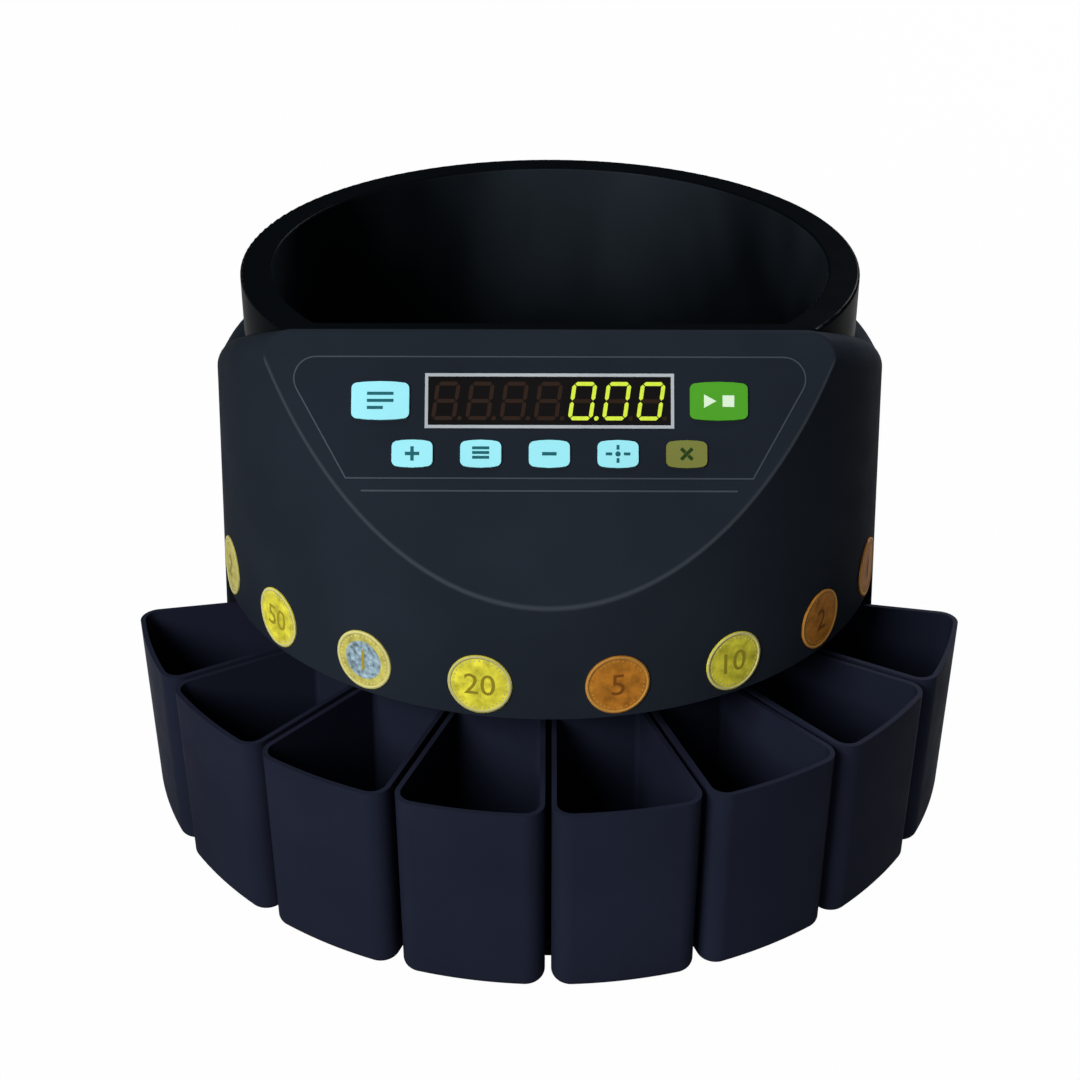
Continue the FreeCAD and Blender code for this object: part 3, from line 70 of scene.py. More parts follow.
def panel_point(x, along, out):
    """A point in metres: x across the panel, along it upwards from the ridge, out of its face, in mm."""
    y = AXIS_Y + RIDGE_Y + along * math.cos(PANEL_ANGLE) - out * math.sin(PANEL_ANGLE)
    z = RIDGE_Z + along * math.sin(PANEL_ANGLE) + out * math.cos(PANEL_ANGLE)
    return Vector((x, y, z)) * MM


def drum_point(angle, across, up, out):
    """A point in metres on the drum: a label's own place in mm at an angle from the front, in radians."""
    z = LABEL_Z + up
    radius = DRUM_LOW - DRUM_DRAFT * (z - FOOT_Z)
    turn = angle + math.asin(across / radius)
    return Vector(
        ((radius + out) * math.sin(turn), AXIS_Y - (radius + out) * math.cos(turn), z)
    ) * MM


def mesh_object(name, points, faces, material, body, slot, smooth=False):
    """A mesh with its material that rides a body; its slot argument is not used."""
    mesh = bpy.data.meshes.new(name)
    mesh.from_pydata([tuple(point) for point in points], [], faces)
    mesh.update()
    if smooth:
        mesh.polygons.foreach_set("use_smooth", [True] * len(mesh.polygons))
    mesh.materials.append(material)
    obj = bpy.data.objects.new(name, mesh)
    bpy.context.collection.objects.link(obj)
    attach(obj, body)
    return obj


CIRCLE_CORNERS = 48


def plates(outlines, place, low, high):
    """Points and faces of flat plates; place turns an outline's two numbers and a height into a point."""
    points, faces = [], []
    for outline in outlines:
        start, count = len(points), len(outline)
        points += [place(x, y, low) for x, y in outline]
        points += [place(x, y, high) for x, y in outline]
        faces.append([start + count + step for step in range(count)])
        faces.append([start + step for step in reversed(range(count))])
        for step in range(count):
            after = (step + 1) % count
            faces.append([start + step, start + after, start + count + after, start + count + step])
    return points, faces


def bands(loops, place, low, high):
    """Points and faces of flat rings between an outer and an inner outline of as many corners."""
    points, faces = [], []
    for outer, inner in loops:
        start, count = len(points), len(outer)
        for outline, height in ((outer, low), (outer, high), (inner, high), (inner, low)):
            points += [place(x, y, height) for x, y in outline]
        for step in range(count):
            after = (step + 1) % count
            for row in range(4):
                here, there = start + row * count, start + (row + 1) % 4 * count
                faces.append([here + step, here + after, there + after, there + step])
    return points, faces


def circle(radius, count=CIRCLE_CORNERS, x=0.0, y=0.0):
    """A circle's outline as a polygon."""
    turns = [2 * math.pi * step / count for step in range(count)]
    return [(x + radius * math.cos(turn), y + radius * math.sin(turn)) for turn in turns]


def bar(x, y, width, height):
    """An upright rectangle's outline round its middle."""
    return [
        (x - width / 2, y - height / 2),
        (x + width / 2, y - height / 2),
        (x + width / 2, y + height / 2),
        (x - width / 2, y + height / 2),
    ]


def turned_bar(width, height, angle, x, y):
    """A rectangle's outline turned round its middle."""
    cosine, sine = math.cos(angle), math.sin(angle)
    return [(x + a * cosine - b * sine, y + a * sine + b * cosine) for a, b in bar(0, 0, width, height)]


# Materials


class Nodes:
    """A material's node tree with short ways to add and join nodes."""

    def __init__(self, name):
        self.material = bpy.data.materials.new(name)
        self.material.use_nodes = True
        self.tree = self.material.node_tree
        self.shader = self.tree.nodes["Principled BSDF"]

    def add(self, kind, **inputs):
        node = self.tree.nodes.new(kind)
        for key, value in inputs.items():
            node.inputs[key.replace("_", " ")].default_value = value
        return node

    def join(self, source, target):
        self.tree.links.new(source, target)

    def noise(self, scale, detail=4.0):
        place = self.tree.nodes.new("ShaderNodeTexCoord")
        noise = self.add("ShaderNodeTexNoise", Scale=scale, Detail=detail)
        self.join(place.outputs["Object"], noise.inputs["Vector"])
        return noise.outputs["Fac"]

    def span(self, value, source, target):
        """The value with the range source moved onto the range target and held inside it."""
        node = self.tree.nodes.new("ShaderNodeMapRange")
        ends = ("From Min", "From Max", "To Min", "To Max")
        for key, number in zip(ends, (*source, *target)):
            node.inputs[key].default_value = number
        self.join(value, node.inputs["Value"])
        return node.outputs["Result"]

    def spread(self, value, low, high):
        return self.span(value, (NOISE_LOW, NOISE_HIGH), (low, high))

    def two_colours(self, value, dark, light):
        ramp = self.tree.nodes.new("ShaderNodeValToRGB")
        ramp.color_ramp.elements[0].position = NOISE_LOW
        ramp.color_ramp.elements[1].position = NOISE_HIGH
        ramp.color_ramp.elements[0].color = (*dark, 1.0)
        ramp.color_ramp.elements[1].color = (*light, 1.0)
        self.join(value, ramp.inputs["Fac"])
        return ramp.outputs["Color"]

    def calc(self, operation, *values):
        node = self.tree.nodes.new("ShaderNodeMath")
        node.operation = operation
        for place, value in enumerate(values):
            if isinstance(value, float):
                node.inputs[place].default_value = value
            else:
                self.join(value, node.inputs[place])
        return node.outputs["Value"]

    def fade(self, value, near, far):
        """One at the near value and nothing at the far one."""
        return self.span(value, (near, far), (1.0, 0.0))

    def split(self, vector):
        """The three parts of a vector."""
        node = self.tree.nodes.new("ShaderNodeSeparateXYZ")
        self.join(vector, node.inputs[0])
        return node.outputs

    def from_axis(self, x, y):
        """Distance from the drum's upright axis."""
        behind = self.calc("SUBTRACT", y, AXIS_Y * MM)
        squares = [self.calc("MULTIPLY", part, part) for part in (x, behind)]
        return self.calc("SQRT", self.calc("ADD", *squares))

    def bump(self, value, strength, distance):
        bump = self.add("ShaderNodeBump", Strength=strength, Distance=distance)
        self.join(value, bump.inputs["Height"])
        self.join(bump.outputs["Normal"], self.shader.inputs["Normal"])


GRAIN_SCALE = 2500.0
GRAIN_DEPTH = 0.00004
GRAIN_DETAIL = 2.0
GLOSS_SCALE = 60.0
GLOSS_SPREAD = 0.12
CLOUD_SCALE = 18.0


def face_nodes(
    name,
    colour,
    rough,
    grain=GRAIN_SCALE,
    strength=0.25,
    metallic=0.0,
    vary=0.12,
    ior=1.15,
    cloud=CLOUD_SCALE,
):
    """Slightly uneven colour and gloss with a fine grain; gives the nodes and the colour's output."""
    nodes = Nodes(name)
    dark = tuple(part * (1 - vary) for part in colour)
    light = tuple(min(1.0, part * (1 + vary)) for part in colour)
    tint = nodes.two_colours(nodes.noise(cloud), dark, light)
    nodes.join(tint, nodes.shader.inputs["Base Color"])
    gloss = nodes.spread(nodes.noise(GLOSS_SCALE), rough * (1 - GLOSS_SPREAD), rough * (1 + GLOSS_SPREAD))
    nodes.join(gloss, nodes.shader.inputs["Roughness"])
    nodes.bump(nodes.noise(grain, GRAIN_DETAIL), strength, GRAIN_DEPTH)
    nodes.shader.inputs["Metallic"].default_value = metallic
    nodes.shader.inputs["IOR"].default_value = ior
    return nodes, tint


def moulded(name, colour, rough, **look):
    """A moulded, printed or machined face."""
    return face_nodes(name, colour, rough, **look)[0].material


def shell_look(name, colour, edge_highlight):
    """The housing's plastic, with a painted highlight: paler along the line where panel and drum meet."""
    nodes, tint = face_nodes(name, colour, 0.46, ior=1.03)
    x, y, z = nodes.split(nodes.tree.nodes.new("ShaderNodeTexCoord").outputs["Object"])
    base_radius = (DRUM_LOW + DRUM_DRAFT * FOOT_Z) * MM
    radius = nodes.calc("SUBTRACT", base_radius, nodes.calc("MULTIPLY", z, DRUM_DRAFT))
    inside = nodes.calc("SUBTRACT", radius, nodes.from_axis(x, y))
    corner = panel_point(0, 0, 0)
    rise = nodes.calc("MULTIPLY", nodes.calc("SUBTRACT", z, corner.z), math.cos(PANEL_ANGLE))
    fall = nodes.calc("MULTIPLY", nodes.calc("SUBTRACT", y, corner.y), math.sin(PANEL_ANGLE))
    below = nodes.calc("SUBTRACT", fall, rise)
    # Painted highlight: the pale colour wherever both the drum's and the panel's face are near
    highlight_near_drum = nodes.fade(inside, HIGHLIGHT_NEAR * MM, HIGHLIGHT_FAR * MM)
    highlight_near_panel = nodes.fade(below, HIGHLIGHT_NEAR * MM, HIGHLIGHT_FAR * MM)
    mix = nodes.tree.nodes.new("ShaderNodeMix")
    mix.data_type = "RGBA"
    nodes.join(nodes.calc("MULTIPLY", highlight_near_drum, highlight_near_panel), mix.inputs["Factor"])
    colours = [socket for socket in mix.inputs if socket.type == "RGBA"]
    nodes.join(tint, colours[0])
    colours[1].default_value = (*edge_highlight, 1.0)
    result = next(socket for socket in mix.outputs if socket.type == "RGBA")
    nodes.join(result, nodes.shader.inputs["Base Color"])
    return nodes.material


# Stretch of the painted sheen's streaks, and the slopes of the face's normal between which the sheen
# fades off flat faces
SHEEN_STREAK_SCALE = (8.0, 8.0, 4.0)
WALL_SLOPE = 0.3
FLAT_SLOPE = 0.9


def hopper_look(name, dark, light):
    """The hopper's plastic, with a painted sheen in lighter streaks on the inner wall that fades towards
    the floor and stays off flat upward faces.
    """
    nodes = face_nodes(name, dark, 0.26, strength=0.1, ior=1.04)[0]
    place = nodes.tree.nodes.new("ShaderNodeTexCoord")
    stretch = nodes.tree.nodes.new("ShaderNodeMapping")
    stretch.inputs["Scale"].default_value = SHEEN_STREAK_SCALE
    nodes.join(place.outputs["Object"], stretch.inputs["Vector"])
    sheen_streaks = nodes.add("ShaderNodeTexNoise", Scale=1.0, Detail=3.0, Roughness=0.5)
    nodes.join(stretch.outputs["Vector"], sheen_streaks.inputs["Vector"])
    normal = nodes.split(nodes.tree.nodes.new("ShaderNodeNewGeometry").outputs["Normal"])
    x, y, z = nodes.split(place.outputs["Object"])
    upright = nodes.fade(normal["Z"], WALL_SLOPE, FLAT_SLOPE)
    inner = nodes.fade(nodes.from_axis(x, y), BOWL_INSIDE * MM, BOWL_OUTSIDE * MM)
    high = nodes.fade(z, RIDGE_Z * MM, (RIDGE_Z - SHEEN_DEPTH) * MM)
    # Painted sheen: lighter streaks on the upright inner wall, fading towards the floor
    painted_sheen = sheen_streaks.outputs["Fac"]
    for share in (upright, inner, high):
        painted_sheen = nodes.calc("MULTIPLY", painted_sheen, share)
    nodes.join(nodes.two_colours(painted_sheen, dark, light), nodes.shader.inputs["Base Color"])
    return nodes.material


def glowing(name, colour, strength):
    """A lit segment: uneven glow over its own colour."""
    nodes = Nodes(name)
    tint = nodes.two_colours(nodes.noise(900.0), tuple(part * 0.85 for part in colour), colour)
    nodes.join(tint, nodes.shader.inputs["Base Color"])
    nodes.join(tint, nodes.shader.inputs["Emission Color"])
    nodes.shader.inputs["Emission Strength"].default_value = strength
    nodes.shader.inputs["Roughness"].default_value = 0.35
    return nodes.material


SLOT_LOOKS = {
    # The shell's second colour is a painted highlight along the line where panel and drum meet
    "shell_black": shell_look("shell plastic", (0.0155, 0.0200, 0.0275), (0.040, 0.047, 0.057)),
    # The hopper's second colour is a painted sheen on the bowl's inner wall
    "hopper_black": hopper_look("hopper plastic", (0.0022, 0.0030, 0.0040), (0.0270, 0.0355, 0.0440)),
    "cup_black": moulded("cup plastic", (0.0140, 0.0165, 0.0300), 0.44, ior=1.05),
    "tray_black": moulded("tray plastic", (0.010, 0.010, 0.012), 0.55, ior=1.05),
    "film_black": moulded("panel film", (0.0135, 0.0175, 0.0250), 0.40, strength=0.12, ior=1.05),
    "key_cyan": moulded("pale blue key", (0.33, 0.80, 0.86), 0.40, vary=0.05),
    "key_green": moulded("green key", (0.075, 0.34, 0.021), 0.40, vary=0.08),
    "key_olive": moulded("olive key", (0.19, 0.20, 0.045), 0.40, vary=0.08),
    "frame_white": moulded("display frame", (0.42, 0.45, 0.47), 0.45),
    "smoked_window": moulded("smoked window", (0.008, 0.007, 0.007), 0.12, strength=0.02),
    "display_black": moulded("black fitting", (0.014, 0.014, 0.015), 0.45),
    "disc_rubber": moulded("disc rubber", (0.022, 0.022, 0.024), 0.60, grain=1400.0, strength=0.4),
    "deck_grey": moulded("deck plastic", (0.10, 0.10, 0.11), 0.45),
    "steel": moulded("steel", (0.55, 0.55, 0.56), 0.32, metallic=1.0),
    "bronze": moulded("bronze", (0.50, 0.33, 0.12), 0.34, metallic=1.0),
    "gear_nylon": moulded("nylon", (0.74, 0.73, 0.68), 0.42, vary=0.05),
    "board_green": moulded("circuit board", (0.015, 0.13, 0.045), 0.40),
    "rubber_black": moulded("rubber", (0.014, 0.014, 0.014), 0.70, strength=0.4),
    "transformer_iron": moulded("transformer iron", (0.21, 0.18, 0.15), 0.50),
    "coin_gold": moulded("printed gold", (0.68, 0.61, 0.045), 0.42, vary=0.35, cloud=240.0),
    "coin_copper": moulded("printed copper", (0.44, 0.165, 0.018), 0.42, vary=0.35, cloud=240.0),
    "coin_two_tone": moulded("printed pale gold", (0.52, 0.46, 0.10), 0.42, vary=0.35, cloud=240.0),
    "brass_pin": moulded("brass", (0.66, 0.50, 0.22), 0.30, metallic=1.0),
}
LINE_GREY = moulded("printed grey line", (0.050, 0.060, 0.074), 0.45)
LEGEND_TEAL = moulded("key legend", (0.012, 0.12, 0.14), 0.45)
LEGEND_DARK = moulded("dark key legend", (0.02, 0.05, 0.01), 0.45)
LEGEND_PALE = moulded("pale legend", (0.70, 0.86, 0.62), 0.45)
DIGIT_LIT = glowing("lit segment", (0.47, 0.58, 0.03), 0.55)
DIGIT_DARK = moulded("unlit segment", (0.026, 0.013, 0.008), 0.40)
COIN_RIM = moulded("printed coin rim", (0.62, 0.57, 0.22), 0.40, vary=0.2)
COPPER_RIM = moulded("printed copper rim", (0.52, 0.25, 0.05), 0.40, vary=0.2)
COIN_SILVER = moulded("printed silver", (0.27, 0.37, 0.42), 0.42, vary=0.65, cloud=520.0)
COIN_INK = moulded("printed coin shade", (0.33, 0.27, 0.022), 0.45, vary=0.2)
COPPER_INK = moulded("printed copper shade", (0.20, 0.065, 0.009), 0.45, vary=0.2)

for entry in frame["record"]["subparts"]:
    node = frame["nodes"][entry["node"]]
    node.data.materials.clear()
    node.data.materials.append(SLOT_LOOKS[entry["material_slot"]])


# Panel

FILM_TOP = 8.7
FILM_BOTTOM = 56.5
FILM_TOP_HALF = 103.7
FILM_BOTTOM_HALF = 77.0
FILM_ROUND = 9.0
FILM_ROUND_STEPS = 12
BORDER_INSET = 0.4
BORDER_WIDTH = 0.55
LINE_ALONG = -60.6
LINE_LENGTH = 141.6
LINE_WIDTH = 0.7


def film_outline(inset):
    """The film's outline moved inwards, with round upper corners."""
    lean = math.atan2(FILM_TOP_HALF - FILM_BOTTOM_HALF, FILM_BOTTOM - FILM_TOP)
    side = inset / math.cos(lean)
    slope = math.tan(lean)
    top, bottom = -FILM_TOP - inset, -FILM_BOTTOM + inset
    half_top = FILM_TOP_HALF - side - slope * inset
    half_bottom = FILM_BOTTOM_HALF - side + slope * inset
    radius = FILM_ROUND - inset
    middle_y = top - radius
    middle_x = half_top - (radius * slope + radius / math.cos(lean))
    right = [(half_bottom, bottom)]
    for step in range(FILM_ROUND_STEPS + 1):
        turn = -lean + (math.pi / 2 + lean) * step / FILM_ROUND_STEPS
        right.append((middle_x + radius * math.cos(turn), middle_y + radius * math.sin(turn)))
    return right + [(-x, y) for x, y in reversed(right)]


border = (film_outline(BORDER_INSET), film_outline(BORDER_INSET + BORDER_WIDTH))
mesh_object(
    "film_border",
    *bands([border], panel_point, -0.05, 0.06),
    LINE_GREY,
    "machine",
    "film_black",
)
mesh_object(
    "panel_line",
    *plates([bar(0, LINE_ALONG, LINE_LENGTH, LINE_WIDTH)], panel_point, -0.38, 0.02),
    LINE_GREY,
    "machine",
    "film_black",
)


# Display: seven leaning digits of seven segments each

DIGITS = 7
ZEROS_FROM = 4
DIGIT_PITCH = 12.9
DIGIT_SHIFT = 0.4
DIGIT_HALF_WIDTH = 3.9
DIGIT_HALF_HEIGHT = 6.6
SEGMENT = 1.5
SEGMENT_GAP = 0.25
POINT_RADIUS = 0.85
POINT_ASIDE = 2.2
POINT_CORNERS = 14
LEAN = math.tan(math.radians(8.0))
WINDOW_OUT = -0.2
DISPLAY_ALONG = -26.3


def segment(x0, y0, x1, y1):
    """A bar with pointed ends between two points of a digit."""
    span = Vector((x1 - x0, y1 - y0)).normalized()
    side = Vector((-span.y, span.x)) * SEGMENT / 2
    start = Vector((x0, y0)) + span * SEGMENT_GAP
    end = Vector((x1, y1)) - span * SEGMENT_GAP
    tip = span * SEGMENT / 2
    spots = [start, start + tip - side, end - tip - side, end, end - tip + side, start + tip + side]
    return [(spot.x, spot.y) for spot in spots]


def digit_segments():
    """The seven segments of one upright digit, by place."""
    w, h = DIGIT_HALF_WIDTH, DIGIT_HALF_HEIGHT
    return {
        "top": segment(-w, h, w, h),
        "middle": segment(-w, 0, w, 0),
        "bottom": segment(-w, -h, w, -h),
        "upper_left": segment(-w, 0, -w, h),
        "upper_right": segment(w, 0, w, h),
        "lower_left": segment(-w, -h, -w, 0),
        "lower_right": segment(w, -h, w, 0),
    }


def leaning(outline, x):
    """A digit's outline leant over and moved to its place on the panel."""
    return [(x + a + b * LEAN, DISPLAY_ALONG + b) for a, b in outline]


lit, unlit = [], []
for place in range(DIGITS):
    middle = (place - DIGITS // 2) * DIGIT_PITCH - DIGIT_SHIFT
    shows_zero = place >= ZEROS_FROM
    for name, outline in digit_segments().items():
        chosen = lit if shows_zero and name != "middle" else unlit
        chosen.append(leaning(outline, middle))
    point = circle(POINT_RADIUS, POINT_CORNERS, DIGIT_HALF_WIDTH + POINT_ASIDE, -DIGIT_HALF_HEIGHT)
    (lit if place == ZEROS_FROM else unlit).append(leaning(point, middle))
mesh_object(
    "digits_lit",
    *plates(lit, panel_point, WINDOW_OUT - 0.05, WINDOW_OUT + 0.05),
    DIGIT_LIT,
    "machine",
    "smoked_window",
)
mesh_object(
    "digits_unlit",
    *plates(unlit, panel_point, WINDOW_OUT - 0.05, WINDOW_OUT + 0.04),
    DIGIT_DARK,
    "machine",
    "smoked_window",
)


# Key legends: plain signs

KEY_OUT = 0.9
LARGE_X = 63.8
LARGE_ALONG = -26.4
SMALL_PITCH = 25.8
SMALL_ALONG = -46.6


ARROW = [(-5.6, -2.6), (-0.9, 0.0), (-5.6, 2.6)]
TEXT_LINES = [bar(0, 2.7, 10, 1.2), bar(0, 0, 10, 1.2), bar(-2, -2.7, 6, 1.2)]
START_STOP = [ARROW, bar(3.6, 0, 4.4, 4.4)]
MINUS = [bar(0, 0, 5.4, 1.3)]
PLUS = MINUS + [bar(0, 1.68, 1.3, 2.06), bar(0, -1.68, 1.3, 2.06)]
STACK = [bar(0, 2.2, 6.4, 1.1), bar(0, 0.4, 6.4, 1.1), bar(0, -1.4, 6.4, 1.1)]
SETTING = [
    circle(1.0, 20),
    bar(-3.4, 0, 2.4, 1.1),
    bar(3.4, 0, 2.4, 1.1),
    bar(0, 2.5, 1.1, 1.8),
    bar(0, -2.5, 1.1, 1.8),
]
CROSS = [
    turned_bar(6.0, 1.3, math.pi / 4, 0, 0),
    turned_bar(2.2, 1.3, -math.pi / 4, -1.35, 1.35),
    turned_bar(2.2, 1.3, -math.pi / 4, 1.35, -1.35),
]
LEGENDS = (
    ("key_list", TEXT_LINES, -LARGE_X, LARGE_ALONG, LEGEND_TEAL, "key_cyan"),
    ("key_start", START_STOP, LARGE_X, LARGE_ALONG, LEGEND_PALE, "key_green"),
    ("key_plus", PLUS, -2 * SMALL_PITCH, SMALL_ALONG, LEGEND_TEAL, "key_cyan"),
    ("key_stack", STACK, -SMALL_PITCH, SMALL_ALONG, LEGEND_TEAL, "key_cyan"),
    ("key_minus", MINUS, 0.0, SMALL_ALONG, LEGEND_TEAL, "key_cyan"),
    ("key_set", SETTING, SMALL_PITCH, SMALL_ALONG, LEGEND_TEAL, "key_cyan"),
    ("key_clear", CROSS, 2 * SMALL_PITCH, SMALL_ALONG, LEGEND_DARK, "key_olive"),
)

for key, outlines, x, along, material, slot in LEGENDS:
    moved = [[(x + a, along + b) for a, b in outline] for outline in outlines]
    points, faces = plates(moved, panel_point, KEY_OUT - 0.1, KEY_OUT + 0.06)
    mesh_object(f"{key}_legend", points, faces, material, f"{key}_body", slot)


# Coin discs on the skirt

LABEL_FIRST = 10.6
LABEL_PITCH = 19.6
RIM_OUTER = 12.45
RIM_INNER = 11.3
BEAD_CIRCLE = 10.3
BEAD_RADIUS = 0.36
BEADS = 36
BEAD_CORNERS = 8
HEART_RADII = (8.2, 6.2, 4.2)
HEART_RING = 2.0
HEART_MIDDLE = 2.25
NUMERAL_HEIGHT = 9.0

# Each disc from left to right: numeral, slot, rim, ink and middle
COINS = (
    ("2", "coin_two_tone", COIN_RIM, COIN_INK, None),
    ("50", "coin_gold", COIN_RIM, COIN_INK, None),
    ("1", "coin_two_tone", COIN_RIM, COIN_INK, COIN_SILVER),
    ("20", "coin_gold", COIN_RIM, COIN_INK, None),
    ("5", "coin_copper", COPPER_RIM, COPPER_INK, None),
    ("10", "coin_gold", COIN_RIM, COIN_INK, None),
    ("2", "coin_copper", COPPER_RIM, COPPER_INK, None),
    ("1", "coin_copper", COPPER_RIM, COPPER_INK, None),
)


def numeral_shape(text, height):
    """A plain numeral as flat points and faces, centred, of that height."""
    curve = bpy.data.curves.new("numeral", "FONT")
    curve.body = text
    curve.align_x = "CENTER"
    curve.align_y = "CENTER"
    curve.resolution_u = 4
    holder = bpy.data.objects.new("numeral", curve)
    bpy.context.collection.objects.link(holder)
    bpy.context.view_layer.update()
    shape = holder.evaluated_get(bpy.context.evaluated_depsgraph_get()).to_mesh()
    points = [(vertex.co.x, vertex.co.y) for vertex in shape.vertices]
    faces = [list(face.vertices) for face in shape.polygons]
    bpy.data.objects.remove(holder)
    low = min(y for x, y in points)
    high = max(y for x, y in points)
    left = min(x for x, y in points)
    right = max(x for x, y in points)
    scale = height / (high - low)
    centred = [((x - (left + right) / 2) * scale, (y - (low + high) / 2) * scale) for x, y in points]
    return centred, faces


for number, (text, slot, rim, ink, heart) in enumerate(COINS, start=1):
    side = number - 5
    steps = side if side >= 0 else -1 - side
    degrees = math.copysign(LABEL_FIRST + steps * LABEL_PITCH, side)
    angle = math.radians(degrees)

    def on_label(x, y, out, angle=angle):
        return drum_point(angle, x, y, LABEL_OUT + out)

    points, faces = bands([(circle(RIM_OUTER), circle(RIM_INNER))], on_label, -0.1, 0.14)
    mesh_object(f"coin_{number}_rim", points, faces, rim, "machine", slot, True)
    beads = [circle(BEAD_RADIUS, BEAD_CORNERS, x, y) for x, y in circle(BEAD_CIRCLE, BEADS)]
    points, faces = plates(beads, on_label, -0.1, 0.08)
    mesh_object(f"coin_{number}_beads", points, faces, rim, "machine", slot)
    if heart:
        rings = [(circle(radius), circle(radius - HEART_RING)) for radius in HEART_RADII]
        points, faces = bands(rings, on_label, -0.1, 0.05)
        start = len(points)
        points += [on_label(x, y, 0.05) for x, y in circle(HEART_MIDDLE)]
        faces.append([start + step for step in range(CIRCLE_CORNERS)])
        mesh_object(f"coin_{number}_heart", points, faces, heart, "machine", slot)
    flat, faces = numeral_shape(text, NUMERAL_HEIGHT)
    points = [on_label(x, y, 0.12) for x, y in flat]
    mesh_object(f"coin_{number}_numeral", points, faces, ink, "machine", slot)


# Rocker marks

ROCKER_RADIUS = 11.5
MARK_RISE = 3.4
RING_OUTER = 1.5
RING_INNER = 1.05
RING_CORNERS = 24
rocker_low, rocker_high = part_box("switch_rocker")


def on_rocker(across, up, out):
    """A point in metres on the rocker's curved face, from mm across, up and out of it."""
    turn = math.asin(up / ROCKER_RADIUS)
    reach = (ROCKER_RADIUS + out) * MM
    return Vector((
        (rocker_low.x + rocker_high.x) / 2 - across * MM,
        rocker_high.y - ROCKER_RADIUS * MM + reach * math.cos(turn),
        (rocker_low.z + rocker_high.z) / 2 + reach * math.sin(turn),
    ))


points, faces = plates([bar(0, MARK_RISE, 0.5, 3.0)], on_rocker, -0.05, 0.03)
ring = [circle(radius, RING_CORNERS, 0, -MARK_RISE) for radius in (RING_OUTER, RING_INNER)]
rings, ring_faces = bands([ring], on_rocker, -0.05, 0.03)
faces += [[len(points) + corner for corner in face] for face in ring_faces]
mesh_object("rocker_marks", points + rings, faces, SLOT_LOOKS["frame_white"], "rocker", "frame_white")


# Stage, light and camera

WHITE = (1.0, 1.0, 1.0, 1.0)
FLOOR_GREYS = ((0.46, 0.46, 0.46), (0.50, 0.50, 0.50))
FLOOR_CLOUDS = 3.0
FLOOR_ROUGH = 0.8
FLOOR_WHITE = 0.985
FLOOR_HALF = 6.0
FLOOR_Z = -0.0005
AMBIENT_COLOUR = (0.80, 0.86, 0.95, 1.0)
AMBIENT_STRENGTH = 0.04

# The floor lights the part as a mid grey and shows white to the camera, with a trace of shadow
floor_nodes = Nodes("studio floor")
floor_tint = floor_nodes.two_colours(floor_nodes.noise(FLOOR_CLOUDS), *FLOOR_GREYS)
floor_nodes.join(floor_tint, floor_nodes.shader.inputs["Base Color"])
floor_nodes.shader.inputs["Roughness"].default_value = FLOOR_ROUGH
glow = floor_nodes.add("ShaderNodeEmission", Color=WHITE, Strength=1.0)
mix = floor_nodes.tree.nodes.new("ShaderNodeMixShader")
path = floor_nodes.tree.nodes.new("ShaderNodeLightPath")
seen = floor_nodes.calc("MULTIPLY", path.outputs["Is Camera Ray"], FLOOR_WHITE)
floor_nodes.join(seen, mix.inputs["Fac"])
floor_nodes.join(floor_nodes.shader.outputs["BSDF"], mix.inputs[1])
floor_nodes.join(glow.outputs["Emission"], mix.inputs[2])
floor_nodes.join(mix.outputs["Shader"], floor_nodes.tree.nodes["Material Output"].inputs["Surface"])
floor_mesh = bpy.data.meshes.new("studio_floor")
corners = [(x, y, FLOOR_Z) for x, y in bar(0, 0, 2 * FLOOR_HALF, 2 * FLOOR_HALF)]
floor_mesh.from_pydata(corners, [], [(0, 1, 2, 3)])
floor_mesh.materials.append(floor_nodes.material)
floor = bpy.data.objects.new("studio_floor", floor_mesh)
bpy.context.collection.objects.link(floor)

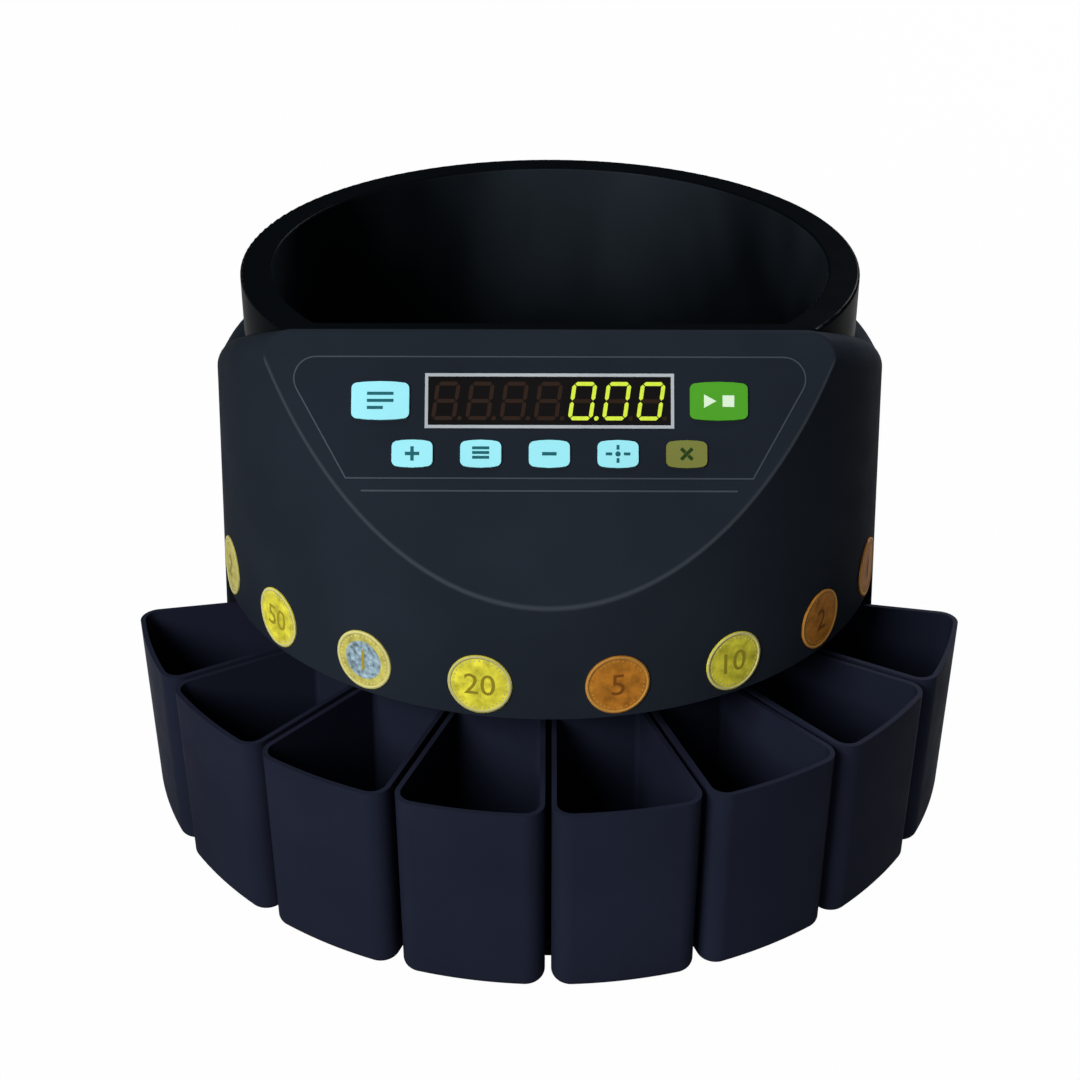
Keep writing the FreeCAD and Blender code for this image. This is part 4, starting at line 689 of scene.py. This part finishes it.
# The world shows white to the camera and lights the part with a weak sky
world = bpy.data.worlds.new("studio")
bpy.context.scene.world = world
world.use_nodes = True
tree = world.node_tree
ambient = tree.nodes["Background"]
ambient.inputs["Color"].default_value = AMBIENT_COLOUR
ambient.inputs["Strength"].default_value = AMBIENT_STRENGTH
white = tree.nodes.new("ShaderNodeBackground")
white.inputs["Color"].default_value = WHITE
white.inputs["Strength"].default_value = 1.0
pick = tree.nodes.new("ShaderNodeMixShader")
ray = tree.nodes.new("ShaderNodeLightPath")
through = tree.nodes.new("ShaderNodeMath")
through.operation = "MAXIMUM"
tree.links.new(ray.outputs["Is Camera Ray"], through.inputs[0])
tree.links.new(ray.outputs["Is Transmission Ray"], through.inputs[1])
tree.links.new(through.outputs["Value"], pick.inputs["Fac"])
tree.links.new(ambient.outputs["Background"], pick.inputs[1])
tree.links.new(white.outputs["Background"], pick.inputs[2])
tree.links.new(pick.outputs["Shader"], tree.nodes["World Output"].inputs["Surface"])


def softbox(name, place, target, width, height, power, colour=WHITE[:3]):
    """A soft area light; places and sizes in metres, power in watts."""
    light = bpy.data.lights.new(name, "AREA")
    light.shape = "RECTANGLE"
    light.size = width
    light.size_y = height
    light.energy = power
    light.color = colour
    obj = bpy.data.objects.new(name, light)
    obj.location = place
    aim = Vector(target) - Vector(place)
    obj.rotation_euler = aim.to_track_quat("-Z", "Y").to_euler()
    bpy.context.collection.objects.link(obj)


softbox("key_light", (-0.85, -1.25, 1.0), (0, 0, 0.12), 0.8, 0.8, 28.5, (0.95, 0.97, 1.0))
softbox("front_light", (0.25, -1.6, 0.7), (0, 0, 0.10), 0.7, 0.7, 0.7)
softbox("back_light", (1.0, 1.5, 1.1), (0, 0, 0.12), 0.8, 0.8, 28.0)
softbox("top_light", (0.0, 0.2, 1.5), (0, 0.05, 0.15), 0.7, 0.5, 5.0)

# The photograph's view: the camera's place in mm, its tilt and turn in radians, its lens in mm
CAMERA_FRONT = 756.333
CAMERA_HEIGHT = 531.6
CAMERA_TILT = 0.5106
CAMERA_TURN = 0.0054
CAMERA_LENS = 64.315
CAMERA_SENSOR = 36.0
CAMERA_NEAREST = 0.01

camera_data = bpy.data.cameras.new("photo_camera")
camera_data.sensor_width = CAMERA_SENSOR
camera_data.lens = CAMERA_LENS
camera_data.clip_start = CAMERA_NEAREST
camera = bpy.data.objects.new("photo_camera", camera_data)
camera.location = Vector((0.0, AXIS_Y - CAMERA_FRONT, CAMERA_HEIGHT)) * MM
camera.rotation_euler = (math.pi / 2 - CAMERA_TILT, 0.0, CAMERA_TURN)
bpy.context.collection.objects.link(camera)
bpy.context.scene.camera = camera
bpy.context.scene.view_settings.view_transform = "Standard"
